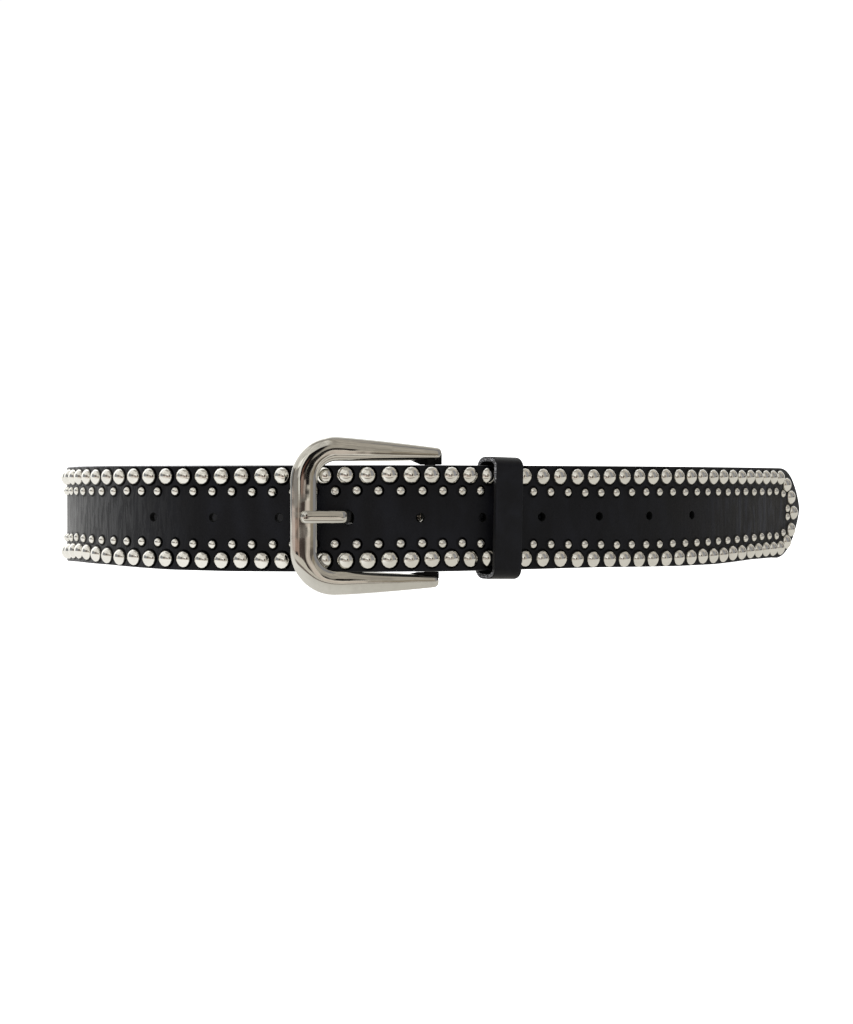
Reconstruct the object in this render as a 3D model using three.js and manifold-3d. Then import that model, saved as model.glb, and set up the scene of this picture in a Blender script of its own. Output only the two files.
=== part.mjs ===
// Studded leather belt, fastened and standing on its edge as a loop.
// Units are millimetres, +Z is up, +X is right in the photo and +Y is away from the camera.
// The sizes below are driving dimensions. Everything else is worked out from them.
import * as THREE from 'three';
import { mergeVertices } from 'three/addons/utils/BufferGeometryUtils.js';
import Module from 'manifold-3d';

const wasm = await Module();
wasm.setup();

const DEG = Math.PI / 180;

// Strap
const STRAP_WIDTH = 38;
const STRAP_THICKNESS = 2.5;
const HALF_WIDTH = STRAP_WIDTH / 2;

// Clearance between neighbouring pieces
const PIECE_GAP = 0.3;

// Plan of the studded face. Each table leaves the heel bar: the tip and the base layer under it to
// the right, and the waist to the left. A row is an arc: its length along the strap and its radius.
// Each arc is tangent to the next.
const BAR_HEADING = 18.8 * DEG;
const TIP_TURNS = [
  { run: 16, radius: 72 },
  { run: 54, radius: 920 },
  { run: 73, radius: 236 },
  { run: 48, radius: 412 },
  { run: 40, radius: Infinity },
];
const WAIST_TURNS = [
  { run: 42, radius: 72 },
  { run: 60, radius: 262 },
  { run: 190, radius: 98 },
];
const BASE_TURNS = [
  { run: 16, radius: 69.1 },
  { run: 40, radius: 900 },
  { run: 140, radius: 211 },
  { run: 110, radius: 78 },
];
const LAYER_GAP = 0.4;
const LAYER_SPREAD = 0.8 * DEG;
// The base layer sits this much lower than the tip layer.
const BASE_DROP = 0.6;

// The fold turns round the heel bar. Its tab follows the base layer: the gap between them leaves
// room for the keeper and closes past it. A slot in the fold lets the prong's eye in.
const HEEL_RADIUS = 2;
const FOLD_STEPS = 9;
const SLOT_HALF_HEIGHT = 3;
const SLOT_TO_RIGHT = 6;
const TAB_GAPS = [
  { fromBar: 6, gap: 4.4 },
  { fromBar: 14, gap: 3.4 },
  { fromBar: 21, gap: 2.9 },
  { fromBar: 38, gap: 2.9 },
  { fromBar: 42, gap: 1.9 },
  { fromBar: 46, gap: 0.8 },
  { fromBar: 49, gap: 0.4 },
  { fromBar: 62, gap: 0.4 },
];

// Tip outline: shoulders of one radius and a nose that closes them
const TIP_LENGTH = 34;
const SHOULDER_RADIUS = 42;
const NOSE_FLAT = 2;
const OUTLINE_STATIONS = [0, 1.1, 3.5, 7.5, 13, 20, 27, TIP_LENGTH];

// Punched holes, measured from the tip
const HOLE_RADIUS = 1.6;
const HOLE_FIRST = 104;
const HOLE_PITCH = 26.4;
const HOLE_COUNT = 10;
const HOLE_SIDES = 10;
const PRONG_HOLE = 6;

// Large studs: rows along both edges, and a ring round the tip
const STUD_RADIUS = 2.9;
const STUD_HEIGHT = 1.5;
const STUD_PITCH = 7.9;
const STUD_ROW = 15.3;
const STUD_FIRST = 26.8;
const STUD_SIDES = 10;
const STUD_TOP_SHARE = 0.55;
const STUD_CLEAR_OF_FOLD = 70;

const TIP_STUDS = [
  { fromTip: 18, across: 12 },
  { fromTip: 12.4, across: 7 },
  { fromTip: 9.6, across: 0 },
  { fromTip: 12.4, across: -7 },
  { fromTip: 18, across: -12 },
];

// Longest facet of the plain end under the tip
const PLAIN_STEP = 12;

// Buckle frame, in its own plane: u runs from the left bar to the heel bar, v is up and w is out
const FRAME_RISE = 0.7;
const FRAME_STANDOFF = 6.6;
const LEFT_BAR_FROM_HEEL = 47;
const BAR_HALF_WIDTH = 4.8;
const BAR_HALF_DEPTH = 2.2;
const CORNER_RADIUS = 12;
const CORNER_START = 12.3;
const ARM_END_U = 4.4;
const ARM_END_V = 22.9;
const ARM_ROOT_HALF_WIDTH = 4.2;
const ARM_TIP_HALF_WIDTH = 1.9;
const ARM_TIP_HALF_DEPTH = 1.5;
const ARM_TIP_BLUNT = 0.55;
const FRAME_SIDES = 10;
const CORNER_STEPS = 6;
const HEEL_SIDES = 12;

// Lugs carry the heel bar from the arms, and stop this far from the strap's edges.
const LUG_LENGTH = 7;
const LUG_DEPTH = 3.4;
const LUG_EDGE_GAP = 0.5;

// Prong: its tip lies on the left bar, and it dives through its hole to the eye on the heel bar.
const PRONG_HALF_WIDTH = 2.2;
const PRONG_HALF_THICKNESS = 1.2;
const PRONG_EYE_RADIUS = 4.1;
const PRONG_EYE_SIDES = 16;
// Its bevelled section, in shares of its half width and half thickness
const PRONG_SECTION = [
  { wide: 1, thick: 0.45 },
  { wide: 0.68, thick: 1 },
  { wide: -0.68, thick: 1 },
  { wide: -1, thick: 0.45 },
  { wide: -1, thick: -0.45 },
  { wide: -0.68, thick: -1 },
  { wide: 0.68, thick: -1 },
  { wide: 1, thick: -0.45 },
];
const PRONG_TIP_U = -0.9;
const PRONG_TIP_TAPER = 0.6;
const PRONG_FLAT_LENGTH = 7;
const PRONG_DIVE = 65 * DEG;
const PRONG_DIVE_FROM_HEEL = 33;

// Keeper
const KEEPER_FROM_HEEL = 28.3;
const KEEPER_WIDTH = 11.5;
const KEEPER_THICKNESS = 2;
const KEEPER_EDGE_GAP = 1.4;
const KEEPER_CORNER = 3.5;

// Fold rivets
const RIVET_SHAFT_RADIUS = 1.5;
const RIVET_HEAD_RADIUS = 3.4;
const RIVET_FRONT_HEAD = 0.6;
const RIVET_BACK_HEAD = 1.1;
const RIVET_FROM_BAR = 55.5;
const RIVET_ROW = 11;
const RIVET_SIDES = 12;

// Plan geometry. A pose is a point with a heading, and an arc is a pose, a run and a bend.
function advance(pose, run, bend) {
  if (bend === 0) {
    const x = pose.x + run * Math.cos(pose.heading);
    const y = pose.y + run * Math.sin(pose.heading);
    return { x, y, heading: pose.heading };
  }
  const heading = pose.heading + bend * run;
  const x = pose.x + (Math.sin(heading) - Math.sin(pose.heading)) / bend;
  const y = pose.y - (Math.cos(heading) - Math.cos(pose.heading)) / bend;
  return { x, y, heading };
}

function endOf(arcs) {
  const last = arcs[arcs.length - 1];
  return advance(last.start, last.run, last.bend);
}

function turnedRound(pose) {
  return { x: pose.x, y: pose.y, heading: pose.heading + Math.PI };
}

// side is 1 where the arcs bend to the left and -1 where they bend to the right.
function walk(start, turns, side) {
  const arcs = [];
  let pose = start;
  for (const { run, radius } of turns) {
    const bend = side / radius;
    arcs.push({ start: pose, run, bend });
    pose = advance(pose, run, bend);
  }
  return arcs;
}

function reversed(arcs) {
  const back = arcs.map(({ start, run, bend }) => ({
    start: turnedRound(advance(start, run, bend)),
    run,
    bend: -bend,
  }));
  return back.reverse();
}

function arcTo(pose, point) {
  const dx = point.x - pose.x;
  const dy = point.y - pose.y;
  const ahead = dx * Math.cos(pose.heading) + dy * Math.sin(pose.heading);
  const left = dy * Math.cos(pose.heading) - dx * Math.sin(pose.heading);
  const turn = 2 * Math.atan2(left, ahead);
  const run = Math.hypot(dx, dy) * (turn / 2) / Math.sin(turn / 2);
  return { start: pose, run, bend: turn / run };
}

// Two arcs of equal tangent length from one pose to another
function joinByTwoArcs(from, to) {
  const fromX = Math.cos(from.heading);
  const fromY = Math.sin(from.heading);
  const toX = Math.cos(to.heading);
  const toY = Math.sin(to.heading);
  const dx = to.x - from.x;
  const dy = to.y - from.y;
  const a = 2 * (1 - fromX * toX - fromY * toY);
  const b = 2 * (dx * (fromX + toX) + dy * (fromY + toY));
  const c = -(dx * dx + dy * dy);
  const reach = (-b + Math.sqrt(b * b - 4 * a * c)) / (2 * a);
  const meet = {
    x: (from.x + reach * fromX + to.x - reach * toX) / 2,
    y: (from.y + reach * fromY + to.y - reach * toY) / 2,
  };
  const first = arcTo(from, meet);
  const second = arcTo(endOf([first]), to);
  return [first, second];
}

function poseAlong(arcs, distance) {
  let left = distance;
  for (const arc of arcs) {
    if (left <= arc.run) {
      return advance(arc.start, left, arc.bend);
    }
    left -= arc.run;
  }
  return advance(endOf(arcs), left, 0);
}

function totalRun(arcs) {
  return arcs.reduce((sum, arc) => sum + arc.run, 0);
}

// The studded face lies to the left of the way from the tip to the fold.
function outward(pose) {
  return { x: -Math.sin(pose.heading), y: Math.cos(pose.heading) };
}

function shifted(pose, distance) {
  const out = outward(pose);
  return { x: pose.x + out.x * distance, y: pose.y + out.y * distance, heading: pose.heading };
}

function pointAt(pose, offset, height) {
  const moved = shifted(pose, offset);
  return new THREE.Vector3(moved.x, moved.y, height);
}

// The strap's way, from the tip to the end of the tab
const barToLeft = { x: 0, y: 0, heading: BAR_HEADING + Math.PI };
const barToRight = turnedRound(barToLeft);
const tipArcs = reversed(walk(barToRight, TIP_TURNS, 1));
const waistArcs = walk(barToLeft, WAIST_TURNS, -1);
const baseTop = shifted(barToLeft, -STRAP_THICKNESS - LAYER_GAP);
const baseToRight = { x: baseTop.x, y: baseTop.y, heading: BAR_HEADING + LAYER_SPREAD };
const baseArcs = reversed(walk(baseToRight, BASE_TURNS, 1));
const backArcs = joinByTwoArcs(endOf(waistArcs), baseArcs[0].start);
const strapArcs = [...tipArcs, ...waistArcs, ...backArcs, ...baseArcs];
const barStation = totalRun(tipArcs);
const foldStation = totalRun(strapArcs);
const foldRadius = HEEL_RADIUS + PIECE_GAP + STRAP_THICKNESS;
const heelPose = shifted(endOf(baseArcs), -foldRadius);

function along(station) {
  return poseAlong(strapArcs, station);
}

// Height of the strap's mid line, which comes down on the way round the waist
function midHeight(station) {
  const share = (station - barStation) / (foldStation - barStation);
  return -BASE_DROP * Math.min(1, Math.max(0, share));
}

// Solids
function solidFromTriangles(points, triangles) {
  const vertProperties = new Float32Array(points.flatMap((p) => [p.x, p.y, p.z]));
  const triVerts = new Uint32Array(triangles.flat());
  return new wasm.Manifold(new wasm.Mesh({ numProp: 3, vertProperties, triVerts }));
}

function solidFromGeometry(geometry) {
  const bare = geometry.clone();
  bare.deleteAttribute('normal');
  bare.deleteAttribute('uv');
  const welded = mergeVertices(bare, 1e-4);
  const vertProperties = new Float32Array(welded.attributes.position.array);
  const triVerts = new Uint32Array(welded.index.array);
  return new wasm.Manifold(new wasm.Mesh({ numProp: 3, vertProperties, triVerts }));
}

function geometryFromSolid(solid) {
  const mesh = solid.getMesh();
  const geometry = new THREE.BufferGeometry();
  geometry.setAttribute('position', new THREE.BufferAttribute(new Float32Array(mesh.vertProperties), 3));
  geometry.setIndex(new THREE.BufferAttribute(new Uint32Array(mesh.triVerts), 1));
  geometry.computeVertexNormals();
  return geometry;
}

// Skin through rings of equally many points, closed by flat ends. Rings run anticlockwise as seen
// from the last ring.
function loft(rings) {
  const sides = rings[0].length;
  const points = rings.flat();
  const triangles = [];
  for (let ring = 0; ring + 1 < rings.length; ring += 1) {
    for (let side = 0; side < sides; side += 1) {
      const next = (side + 1) % sides;
      const a = ring * sides + side;
      const b = ring * sides + next;
      triangles.push([a, b, b + sides], [a, b + sides, a + sides]);
    }
  }
  const last = (rings.length - 1) * sides;
  for (let side = 1; side + 1 < sides; side += 1) {
    triangles.push([0, side + 1, side], [last, last + side, last + side + 1]);
  }
  return solidFromTriangles(points, triangles);
}

function box(width, depth, height) {
  return solidFromGeometry(new THREE.BoxGeometry(width, depth, height));
}

// Round bar that stands upright, along Z
function upright(radius, height, sides) {
  const bar = new THREE.CylinderGeometry(radius, radius, height, sides);
  return solidFromGeometry(bar.rotateX(Math.PI / 2));
}

// Round bar that lies across the strap's faces, along Y
function crosswise(radius, length, sides) {
  return solidFromGeometry(new THREE.CylinderGeometry(radius, radius, length, sides));
}

// Turns a solid built round the origin to a pose: its X along the strap, its Y outwards.
function placed(solid, pose, height) {
  return solid.rotate([0, 0, pose.heading / DEG]).translate([pose.x, pose.y, height]);
}

// Strap
function tipHalfWidth(station) {
  const low = HALF_WIDTH - SHOULDER_RADIUS;
  const reach = Math.min(TIP_LENGTH, station) - TIP_LENGTH;
  const shoulder = low + Math.sqrt(SHOULDER_RADIUS ** 2 - reach ** 2);
  return Math.max(NOSE_FLAT, shoulder);
}

// A section holds the outer and the inner face's point and the mid line's height.
function sectionAt(pose, outer, inner, mid) {
  return { outer: pointAt(pose, outer, 0), inner: pointAt(pose, inner, 0), mid };
}

function strapSection(station) {
  return sectionAt(along(station), 0, -STRAP_THICKNESS, midHeight(station));
}

// Stations halfway between the studs, so that each pair of studs has a flat facet
function studdedStations() {
  const stations = [];
  const end = foldStation - STUD_CLEAR_OF_FOLD;
  let station = STUD_FIRST + STUD_PITCH * 1.5;
  while (station < end) {
    stations.push(station);
    station += STUD_PITCH;
  }
  return stations;
}

// The plain end: the base layer up to the heel bar, the fold round it and the tab
function plainSections(from) {
  const sections = [];
  const steps = Math.ceil((foldStation - from) / PLAIN_STEP);
  for (let step = 1; step <= steps; step += 1) {
    sections.push(strapSection(from + (foldStation - from) * step / steps));
  }
  const inside = foldRadius - STRAP_THICKNESS;
  for (let step = 1; step <= FOLD_STEPS; step += 1) {
    const heading = heelPose.heading - Math.PI * step / FOLD_STEPS;
    const pose = { x: heelPose.x, y: heelPose.y, heading };
    sections.push(sectionAt(pose, foldRadius, inside, -BASE_DROP));
  }
  for (const { fromBar, gap } of TAB_GAPS) {
    const pose = along(foldStation - fromBar);
    sections.push(sectionAt(pose, -2 * STRAP_THICKNESS - gap, -STRAP_THICKNESS - gap, -BASE_DROP));
  }
  return sections;
}

// Flat facet of the studded face in its own plane: x runs along the strap and y is up.
function facetPlane(from, to) {
  const ahead = to.outer.clone().sub(from.outer);
  const length = ahead.length();
  ahead.normalize();
  const out = new THREE.Vector3(-ahead.y, ahead.x, 0);
  const point = (x, y, lift) => {
    const place = from.outer.clone().addScaledVector(ahead, x).addScaledVector(out, lift);
    return place.setZ(y);
  };
  return { length, point };
}

function ringOfStud(x, y, radius, sides) {
  const ring = [];
  for (let side = 0; side < sides; side += 1) {
    const angle = side * 2 * Math.PI / sides;
    ring.push(new THREE.Vector2(x + radius * Math.cos(angle), y + radius * Math.sin(angle)));
  }
  return ring;
}

// Domed cap: ten points at the leather, five near the top
function studCap(plane, stud) {
  const upperSides = STUD_SIDES / 2;
  const lower = ringOfStud(stud.x, stud.y, STUD_RADIUS, STUD_SIDES).map((p) => plane.point(p.x, p.y, 0));
  const upperRing = ringOfStud(stud.x, stud.y, STUD_RADIUS * STUD_TOP_SHARE, upperSides);
  const upper = upperRing.map((p) => plane.point(p.x, p.y, STUD_HEIGHT));
  const triangles = [];
  for (let side = 0; side < upperSides; side += 1) {
    const a = lower[side * 2];
    const b = lower[side * 2 + 1];
    const c = lower[(side * 2 + 2) % STUD_SIDES];
    const top = upper[side];
    const nextTop = upper[(side + 1) % upperSides];
    triangles.push([a, top, b], [b, top, nextTop], [b, nextTop, c]);
  }
  for (let side = 1; side + 1 < upperSides; side += 1) {
    triangles.push([upper[0], upper[side + 1], upper[side]]);
  }
  return triangles;
}

// Flat face with holes, at a lift from the facet. out is true where the face looks outwards.
function flatFace(plane, outline, holes, lift, out) {
  const flat = [outline, ...holes].flat();
  return THREE.ShapeUtils.triangulateShape(outline, holes).map((corners) => {
    const [a, b, c] = corners.map((corner) => flat[corner]);
    const anticlockwise = (b.x - a.x) * (c.y - a.y) > (b.y - a.y) * (c.x - a.x);
    const turned = anticlockwise === out ? [a, c, b] : [a, b, c];
    return turned.map((corner) => plane.point(corner.x, corner.y, lift));
  });
}

// The facet's leather round its studs, and the studs on it
function studdedFacet(plane, outline, studs) {
  const holes = studs.map((stud) => ringOfStud(stud.x, stud.y, STUD_RADIUS, STUD_SIDES));
  const triangles = flatFace(plane, outline, holes, 0, true);
  for (const stud of studs) {
    triangles.push(...studCap(plane, stud));
  }
  return triangles;
}

function quad(a, b, c, d) {
  return [[a, b, c], [a, c, d]];
}

function edgePoint(place, height) {
  return place.clone().setZ(height);
}

// One length of strap between two sections, with the studs on it
function strapLength(from, to, studs) {
  const plane = facetPlane(from, to);
  const outline = [
    new THREE.Vector2(0, from.mid - HALF_WIDTH),
    new THREE.Vector2(plane.length, to.mid - HALF_WIDTH),
    new THREE.Vector2(plane.length, to.mid + HALF_WIDTH),
    new THREE.Vector2(0, from.mid + HALF_WIDTH),
  ];
  const fromTop = from.mid + HALF_WIDTH;
  const fromLow = from.mid - HALF_WIDTH;
  const toTop = to.mid + HALF_WIDTH;
  const toLow = to.mid - HALF_WIDTH;
  const outerFromTop = edgePoint(from.outer, fromTop);
  const outerToTop = edgePoint(to.outer, toTop);
  const innerFromTop = edgePoint(from.inner, fromTop);
  const innerToTop = edgePoint(to.inner, toTop);
  const outerFromLow = edgePoint(from.outer, fromLow);
  const outerToLow = edgePoint(to.outer, toLow);
  const innerFromLow = edgePoint(from.inner, fromLow);
  const innerToLow = edgePoint(to.inner, toLow);
  return [
    ...studdedFacet(plane, outline, studs),
    ...quad(innerFromLow, innerToLow, innerToTop, innerFromTop),
    ...quad(outerFromTop, innerFromTop, innerToTop, outerToTop),
    ...quad(outerFromLow, outerToLow, innerToLow, innerFromLow),
  ];
}

// The flat tip: its outline, the studs round it, its back and its edge
function tipPiece(end) {
  const start = strapSection(0);
  const plane = facetPlane(start, end);
  const stations = [...OUTLINE_STATIONS, plane.length];
  const low = stations.map((station) => new THREE.Vector2(station, -tipHalfWidth(station)));
  const top = stations.map((station) => new THREE.Vector2(station, tipHalfWidth(station))).reverse();
  const outline = [...low, ...top];
  const rows = [STUD_FIRST, STUD_FIRST + STUD_PITCH].flatMap((station) => rowStuds(station, station));
  const studs = [...TIP_STUDS.map(({ fromTip, across }) => ({ x: fromTip, y: across })), ...rows];
  const triangles = [
    ...studdedFacet(plane, outline, studs),
    ...flatFace(plane, outline, [], -STRAP_THICKNESS, false),
  ];
  for (let side = 0; side < outline.length; side += 1) {
    const a = outline[side];
    const b = outline[(side + 1) % outline.length];
    if (side !== low.length - 1) {
      triangles.push(...quad(
        plane.point(a.x, a.y, 0),
        plane.point(b.x, b.y, 0),
        plane.point(b.x, b.y, -STRAP_THICKNESS),
        plane.point(a.x, a.y, -STRAP_THICKNESS),
      ));
    }
  }
  return triangles;
}

// The pair of large studs at a station. x is their place along the facet.
function rowStuds(station, x) {
  const row = Math.min(STUD_ROW, tipHalfWidth(station) - (HALF_WIDTH - STUD_ROW));
  const mid = midHeight(station);
  return [{ x, y: mid + row }, { x, y: mid - row }];
}

function strapBody() {
  const stations = studdedStations();
  const triangles = tipPiece(strapSection(stations[0]));
  let section = strapSection(stations[0]);
  for (const station of stations.slice(1)) {
    const next = strapSection(station);
    const length = section.outer.distanceTo(next.outer);
    triangles.push(...strapLength(section, next, rowStuds(station - STUD_PITCH / 2, length / 2)));
    section = next;
  }
  for (const next of plainSections(stations[stations.length - 1])) {
    triangles.push(...strapLength(section, next, []));
    section = next;
  }
  triangles.push(...quad(
    edgePoint(section.outer, section.mid - HALF_WIDTH),
    edgePoint(section.outer, section.mid + HALF_WIDTH),
    edgePoint(section.inner, section.mid + HALF_WIDTH),
    edgePoint(section.inner, section.mid - HALF_WIDTH),
  ));
  const geometry = new THREE.BufferGeometry().setFromPoints(triangles.flat());
  return solidFromGeometry(geometry);
}

function holeCutters() {
  const cutters = [];
  const drill = crosswise(HOLE_RADIUS, STRAP_THICKNESS + 2 * PIECE_GAP, HOLE_SIDES);
  for (let hole = 0; hole < HOLE_COUNT; hole += 1) {
    if (hole !== PRONG_HOLE) {
      const pose = shifted(along(HOLE_FIRST + hole * HOLE_PITCH), -STRAP_THICKNESS / 2);
      cutters.push(placed(drill, pose, 0));
    }
  }
  return cutters;
}

// Slot in the fold, where the prong's eye sits on the heel bar
function foldSlot() {
  const left = foldRadius + 1;
  const slot = box(left + SLOT_TO_RIGHT, 2 * foldRadius + 0.2, 2 * SLOT_HALF_HEIGHT);
  return placed(slot.translate([(left - SLOT_TO_RIGHT) / 2, 0, 0]), heelPose, 0);
}

function strapSolid(prongCutter, rivetCutters) {
  const cutters = [...holeCutters(), ...rivetCutters, foldSlot(), prongCutter];
  return strapBody().subtract(wasm.Manifold.union(cutters));
}

// Buckle frame. The frame's plane runs from the left bar, in front of the strap, to the heel bar.
const leftBar = shifted(along(barStation + LEFT_BAR_FROM_HEEL), FRAME_STANDOFF);
const frameLength = Math.hypot(heelPose.x - leftBar.x, heelPose.y - leftBar.y);
const frameHeading = Math.atan2(heelPose.y - leftBar.y, heelPose.x - leftBar.x);
const frameAlong = new THREE.Vector3(Math.cos(frameHeading), Math.sin(frameHeading), 0);
const frameOut = new THREE.Vector3(Math.sin(frameHeading), -Math.cos(frameHeading), 0);

function framePoint(u, v, w) {
  const point = new THREE.Vector3(leftBar.x, leftBar.y, FRAME_RISE + v);
  return point.addScaledVector(frameAlong, u).addScaledVector(frameOut, w);
}

function frameCoordinates(point) {
  const from = new THREE.Vector3(point.x - leftBar.x, point.y - leftBar.y, 0);
  return { u: from.dot(frameAlong), w: from.dot(frameOut) };
}

// Centre line of the upper half, from the middle of the left bar to the arm's end
function frameStations() {
  const endU = frameLength + ARM_END_U;
  const stations = [{ u: 0, v: 0, lead: Math.PI / 2, half: BAR_HALF_WIDTH, depth: BAR_HALF_DEPTH }];
  const armLead = Math.atan2(ARM_END_V - CORNER_START - CORNER_RADIUS, endU - CORNER_RADIUS);
  for (let step = 0; step <= CORNER_STEPS; step += 1) {
    const share = step / CORNER_STEPS;
    const lead = Math.PI / 2 + (armLead - Math.PI / 2) * share;
    stations.push({
      u: CORNER_RADIUS * (1 - Math.sin(lead)),
      v: CORNER_START + CORNER_RADIUS * Math.cos(lead),
      lead,
      half: BAR_HALF_WIDTH + (ARM_ROOT_HALF_WIDTH - BAR_HALF_WIDTH) * share,
      depth: BAR_HALF_DEPTH,
    });
  }
  const root = stations[stations.length - 1];
  for (const share of [0.5, 0.94, 1]) {
    const blunt = share === 1 ? ARM_TIP_BLUNT : 1;
    stations.push({
      u: root.u + (endU - root.u) * share,
      v: root.v + (ARM_END_V - root.v) * share,
      lead: armLead,
      half: blunt * (root.half + (ARM_TIP_HALF_WIDTH - root.half) * share),
      depth: blunt * (root.depth + (ARM_TIP_HALF_DEPTH - root.depth) * share),
    });
  }
  return stations;
}

function frameRing(station, mirror) {
  const ring = [];
  for (let side = 0; side < FRAME_SIDES; side += 1) {
    const angle = side * 2 * Math.PI / FRAME_SIDES;
    const across = station.half * Math.cos(angle);
    const u = station.u - across * Math.sin(station.lead);
    const v = station.v + across * Math.cos(station.lead);
    ring.push(framePoint(u, mirror * v, station.depth * Math.sin(angle)));
  }
  return ring;
}

// side is 1 for the upper lug and -1 for the lower one.
function lugSolid(side) {
  const edge = side > 0 ? HALF_WIDTH : HALF_WIDTH + BASE_DROP;
  const inner = side * (edge + LUG_EDGE_GAP) - FRAME_RISE;
  const outer = side * ARM_END_V;
  const lug = box(LUG_LENGTH, LUG_DEPTH, Math.abs(outer - inner)).rotate([0, 0, frameHeading / DEG]);
  return lug.translate(framePoint(frameLength, (outer + inner) / 2, 0).toArray());
}

function frameSolid() {
  const half = frameStations();
  const upper = half.map((station) => frameRing(station, 1));
  const lower = half.slice(1).map((station) => frameRing(station, -1)).reverse();
  const hoop = loft([...lower, ...upper]);
  const heel = placed(upright(HEEL_RADIUS, 2 * ARM_END_V, HEEL_SIDES), heelPose, FRAME_RISE);
  return wasm.Manifold.union([hoop, heel, lugSolid(1), lugSolid(-1)]);
}

// Prong: its way in the frame's plane, from the tip on the left bar to the eye on the heel bar
function prongWay() {
  const face = along(barStation + PRONG_DIVE_FROM_HEEL);
  const entry = frameCoordinates(face);
  const strapLead = frameHeading - (face.heading - Math.PI);
  const dive = strapLead - PRONG_DIVE;
  const top = BAR_HALF_DEPTH + PIECE_GAP + PRONG_HALF_THICKNESS;
  const toTop = (top - entry.w) / Math.sin(dive);
  const through = (STRAP_THICKNESS + PIECE_GAP + PRONG_HALF_THICKNESS) / Math.sin(PRONG_DIVE);
  return [
    { u: PRONG_TIP_U, w: top - 0.1 },
    { u: PRONG_TIP_U + 1, w: top },
    { u: PRONG_TIP_U + PRONG_FLAT_LENGTH, w: top },
    { u: entry.u + toTop * Math.cos(dive), w: top },
    { u: entry.u + through * Math.cos(dive), w: entry.w + through * Math.sin(dive) },
    { u: frameLength - PRONG_EYE_RADIUS + 1, w: 0 },
  ];
}

// grow widens the prong all round, to cut its hole in the strap.
function prongSolid(grow) {
  const way = prongWay();
  const rings = way.map((place, index) => {
    const before = way[Math.max(0, index - 1)];
    const after = way[Math.min(way.length - 1, index + 1)];
    const leadIn = Math.atan2(place.w - before.w, place.u - before.u);
    const leadOut = Math.atan2(after.w - place.w, after.u - place.u);
    const first = index === 0 ? leadOut : leadIn;
    const last = index === way.length - 1 ? leadIn : leadOut;
    const lead = (first + last) / 2;
    const mitre = 1 / Math.cos((last - first) / 2);
    const taper = index === 0 ? PRONG_TIP_TAPER : 1;
    const halfWidth = taper * PRONG_HALF_WIDTH + grow;
    const halfThickness = mitre * (taper * PRONG_HALF_THICKNESS + grow);
    return PRONG_SECTION.map(({ wide, thick }) => {
      const out = thick * halfThickness;
      const u = place.u - out * Math.sin(lead);
      const w = place.w + out * Math.cos(lead);
      return framePoint(u, wide * halfWidth - FRAME_RISE, w);
    });
  });
  return loft(rings);
}

function prongWithEye() {
  const width = 2 * PRONG_HALF_WIDTH;
  const eye = placed(upright(PRONG_EYE_RADIUS, width, PRONG_EYE_SIDES), heelPose, 0);
  const bore = placed(upright(HEEL_RADIUS + PIECE_GAP, 2 * width, PRONG_EYE_SIDES), heelPose, 0);
  return prongSolid(0).add(eye).subtract(bore);
}

// Keeper: a loop round both layers, drawn in section and pushed along the strap
function roundedRectangle(path, low, high, halfHeight, radius) {
  path.moveTo(low + radius, -halfHeight);
  path.lineTo(high - radius, -halfHeight);
  path.absarc(high - radius, radius - halfHeight, radius, -Math.PI / 2, 0);
  path.lineTo(high, halfHeight - radius);
  path.absarc(high - radius, halfHeight - radius, radius, 0, Math.PI / 2);
  path.lineTo(low + radius, halfHeight);
  path.absarc(low + radius, halfHeight - radius, radius, Math.PI / 2, Math.PI);
  path.lineTo(low, radius - halfHeight);
  path.absarc(low + radius, radius - halfHeight, radius, Math.PI, 1.5 * Math.PI);
  return path;
}

function keeperSolid() {
  const layers = 2 * STRAP_THICKNESS + LAYER_GAP + KEEPER_FROM_HEEL * Math.tan(LAYER_SPREAD);
  const front = STUD_HEIGHT + PIECE_GAP;
  const back = -layers - 2 * PIECE_GAP;
  const halfHeight = HALF_WIDTH + KEEPER_EDGE_GAP;
  const outside = roundedRectangle(
    new THREE.Shape(),
    back - KEEPER_THICKNESS,
    front + KEEPER_THICKNESS,
    halfHeight + KEEPER_THICKNESS,
    KEEPER_CORNER,
  );
  const insideCorner = KEEPER_CORNER - KEEPER_THICKNESS;
  outside.holes.push(roundedRectangle(new THREE.Path(), back, front, halfHeight, insideCorner));
  const loop = new THREE.ExtrudeGeometry(outside, {
    depth: KEEPER_WIDTH,
    bevelEnabled: false,
    steps: 1,
    curveSegments: 4,
  });
  loop.translate(0, 0, -KEEPER_WIDTH / 2);
  // Section X becomes outwards, section Y becomes up, and the depth runs along the strap.
  const turned = new THREE.Matrix4().makeBasis(
    new THREE.Vector3(0, 1, 0),
    new THREE.Vector3(0, 0, 1),
    new THREE.Vector3(1, 0, 0),
  );
  loop.applyMatrix4(turned);
  return placed(solidFromGeometry(loop), along(barStation - KEEPER_FROM_HEEL), -BASE_DROP / 2);
}

// Fold rivets, through the base layer and the tab. Their heads lie just clear of the leather.
const rivetPose = along(foldStation - RIVET_FROM_BAR);
const rivetHigh = PIECE_GAP;
const rivetLow = -2 * STRAP_THICKNESS - LAYER_GAP - 2 * PIECE_GAP;

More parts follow.
